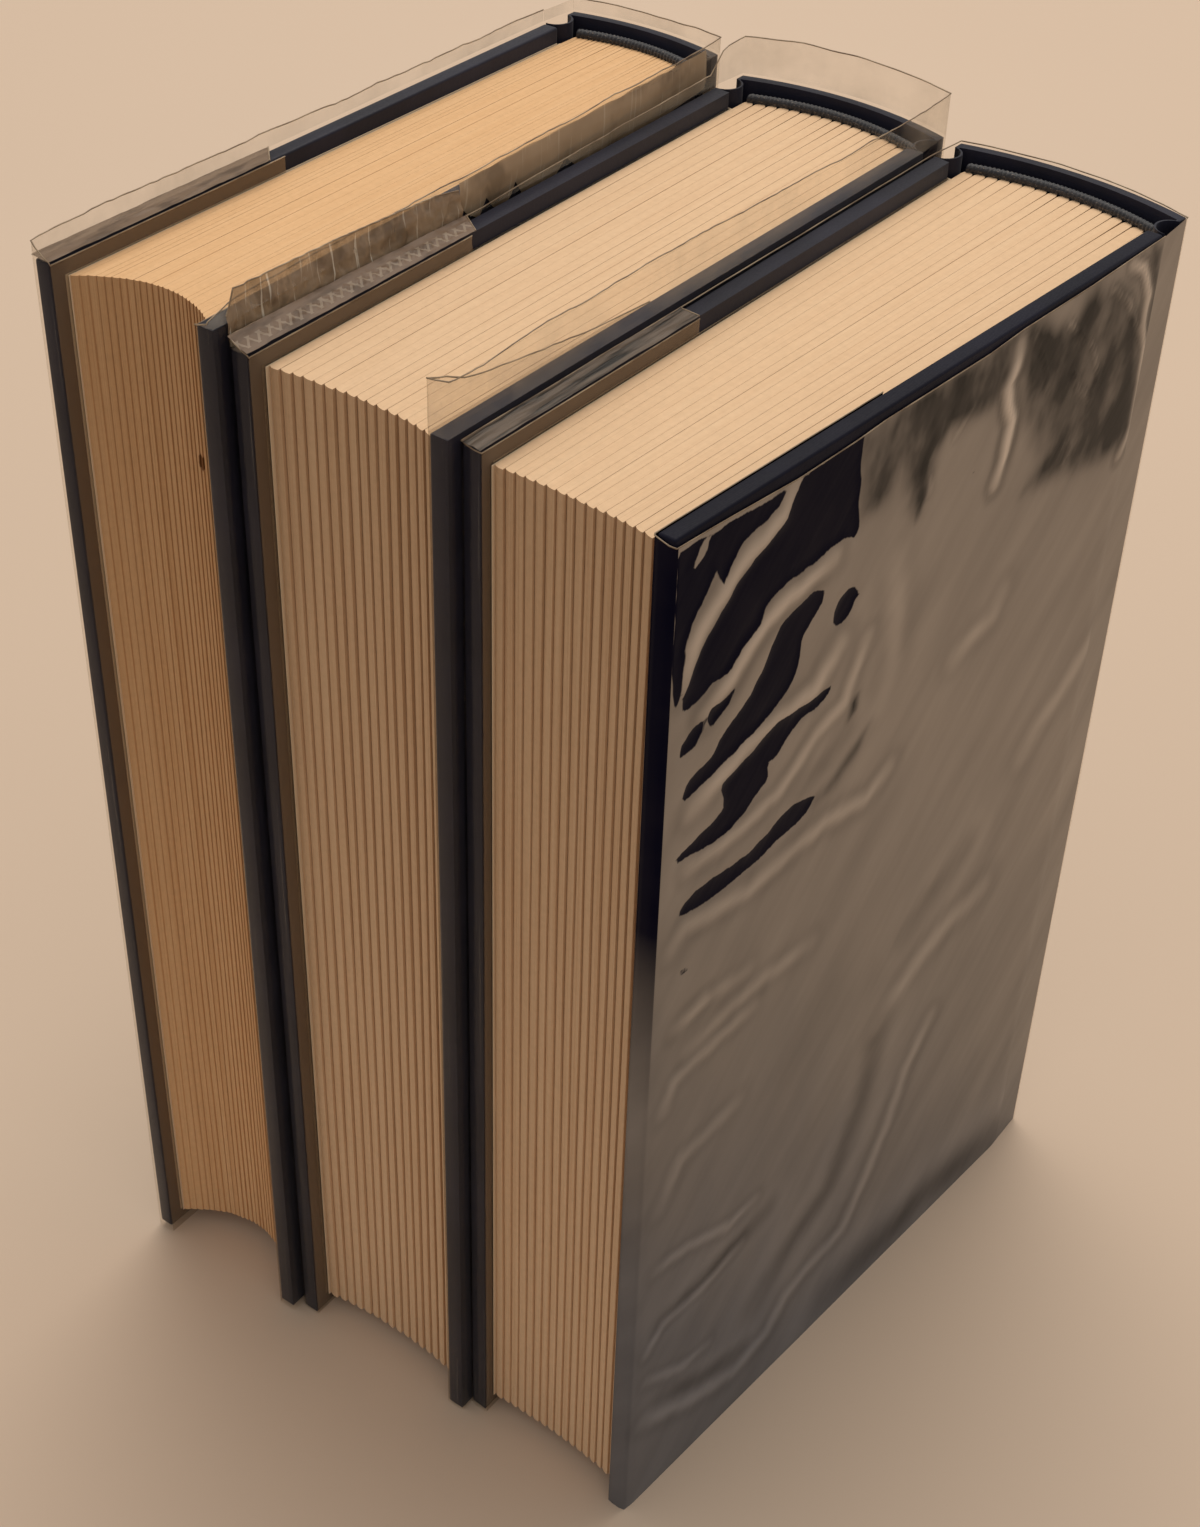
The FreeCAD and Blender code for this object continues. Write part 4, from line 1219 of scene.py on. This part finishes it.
def sagging_strip(book, side):
    """Loose film between two books, whose lower edge rises and falls where it meets the next cover."""
    low = [(55, 211.5), (57, 209.4), (60, 207.6), (62, 210.4), (64, 207.8), (68, 208.0), (69.5, 210.4),
           (71.5, 207.4), (80, 207.4), (83, 209.9), (86, 207.4), (100, 207.0), (112, 207.4), (124, 208.4)]
    vertices, uvs = [], []
    rows, columns = 12, 120
    for column_row in range(rows):
        part = column_row / (rows - 1)
        for column in range(columns):
            depth = 55 + 69.0 * column / (columns - 1)
            bottom = follow(low, depth)[1]
            top = book.head + 2.7 + 0.3 * noise.noise((depth * 0.2, 3.0, 1.0))
            bulge = 0.25 * math.sin(math.pi * part) + 0.15 * noise.noise((depth * 0.3, part * 2, 6.0))
            level = bottom + (top - bottom) * part
            vertices.append(book.point(side, -STAND_OFF - 0.12 - bulge, depth, level))
            uvs.append((depth, part))
    film_piece(f"{book.name}_film_sag", vertices, grid_faces(rows, columns), uvs, [], [film_smoky, film_edge],
               "books", f"{book.name}_jacket")


for book in books.values():
    make_jacket(book)

head_sheet("left_book_front_cover_pocket", books["left_book"], LEFT, 50, 3.5, 1.0,
           [(0, 0.7, 0.4), (50, 0.5, 0.3)], 0.12, film_flat, "left_book_front_jacket_panel")
head_sheet("middle_book_pocket", books["middle_book"], LEFT, 53, 2.0, 0.25,
           [(0, 2.2, 0.5), (30, 1.7, 0.4), (53, 1.1, 0.3)], 0.12, film_welded, "middle_book_jacket",
           weld=True)
head_sheet("right_book_pocket", books["right_book"], LEFT, 50, 0.0, 1.0,
           [(0, 0.5, 0.4), (50, 0.4, 0.3)], 0.15, film_wrinkled, "right_book_jacket")
crinkled_strip(books["middle_book"], LEFT)
sagging_strip(books["left_book"], RIGHT)


# The CAD nodes that stay in view

endpaper = plain_paper()
lining = mull()
core = grey_board()
for node, piece in frame["nodes"].items():
    slot = frame_slot(node)
    material = {"endpaper": endpaper, "lining": lining, "board": core}.get(slot)
    if material:
        piece.data.materials.clear()
        piece.data.materials.append(material)

# The pastedowns of the covers that open lie on the cloth of this model, so that it doesn't hide them.
for (name, side), body in OPENING.items():
    book = books[name]
    under, face, end = COVER - 0.1, COVER + 0.14, BOARD_DEPTH - 0.4
    outline = path(book, side, [(under, SQUARE), (face, SQUARE), (face, end), (under, end)])
    if side == RIGHT:
        outline.reverse()
    sheet = extrude(f"{body}_paper", outline, book.block_foot, book.block_head, [endpaper], body,
                    0.05)
    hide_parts(f"{name}_{SIDE_NAMES[side]}_pastedown")


# Floor, light and camera

FLOOR_COLOR = (0.72, 0.555, 0.42, 1)


def make_floor():
    reach = 3.0
    corners = [(-reach, -reach, 0), (reach, -reach, 0), (reach, reach, 0), (-reach, reach, 0)]
    shader = Shader("pale floor")
    cloudy = shader.noise(shader.place(), 3.0, 2.0)
    shader.feed(shader.surface, {
        "Base Color": shader.mix(cloudy, FLOOR_COLOR, tuple(c * 0.94 for c in FLOOR_COLOR[:3]) + (1,)),
        "Roughness": 0.6,
        "Specular IOR Level": 0.25,
    })
    floor = new_object("floor", corners, [(0, 1, 2, 3)], [shader.material], smooth=False)


def add_lamp(name, place, target, size, power, color):
    lamp = bpy.data.lights.new(name, "AREA")
    lamp.shape = "DISK"
    lamp.size = size
    lamp.energy = power
    lamp.color = color
    holder = bpy.data.objects.new(name, lamp)
    holder.location = place
    holder.rotation_euler = (Vector(target) - Vector(place)).to_track_quat("-Z", "Y").to_euler()
    bpy.context.scene.collection.objects.link(holder)


def make_light():
    world = bpy.data.worlds.new("soft room")
    bpy.context.scene.world = world
    world.use_nodes = True
    background = world.node_tree.nodes["Background"]
    background.inputs["Color"].default_value = (1.0, 0.97, 0.93, 1)
    background.inputs["Strength"].default_value = 0.47
    add_lamp("overhead", (-0.35, 0.65, 1.7), (0, 0, 0.1), 1.7, 20.0, (1.0, 0.94, 0.86))


CAMERA_PLACE = (0.19682, -0.27452, 0.37196)
CAMERA_AZIMUTH = 36.233
CAMERA_DOWN = 38.223
CAMERA_ROLL = 1.923
SENSOR = 36.0
PHOTO_SIZE = (1200, 1527)
FOCAL_PIXELS = 2374.4


def make_camera():
    lens = bpy.data.cameras.new("camera")
    lens.sensor_width = SENSOR
    lens.lens = SENSOR * FOCAL_PIXELS / max(PHOTO_SIZE)
    lens.clip_start = 0.01
    camera = bpy.data.objects.new("camera", lens)
    turn = Matrix.Rotation(math.radians(CAMERA_AZIMUTH), 4, "Z")
    tilt = Matrix.Rotation(math.radians(90 - CAMERA_DOWN), 4, "X")
    roll = Matrix.Rotation(math.radians(CAMERA_ROLL), 4, "Z")
    camera.matrix_world = Matrix.Translation(CAMERA_PLACE) @ turn @ tilt @ roll
    bpy.context.scene.collection.objects.link(camera)
    bpy.context.scene.camera = camera


make_floor()
make_light()
make_camera()
bpy.context.scene.view_settings.view_transform = "Standard"
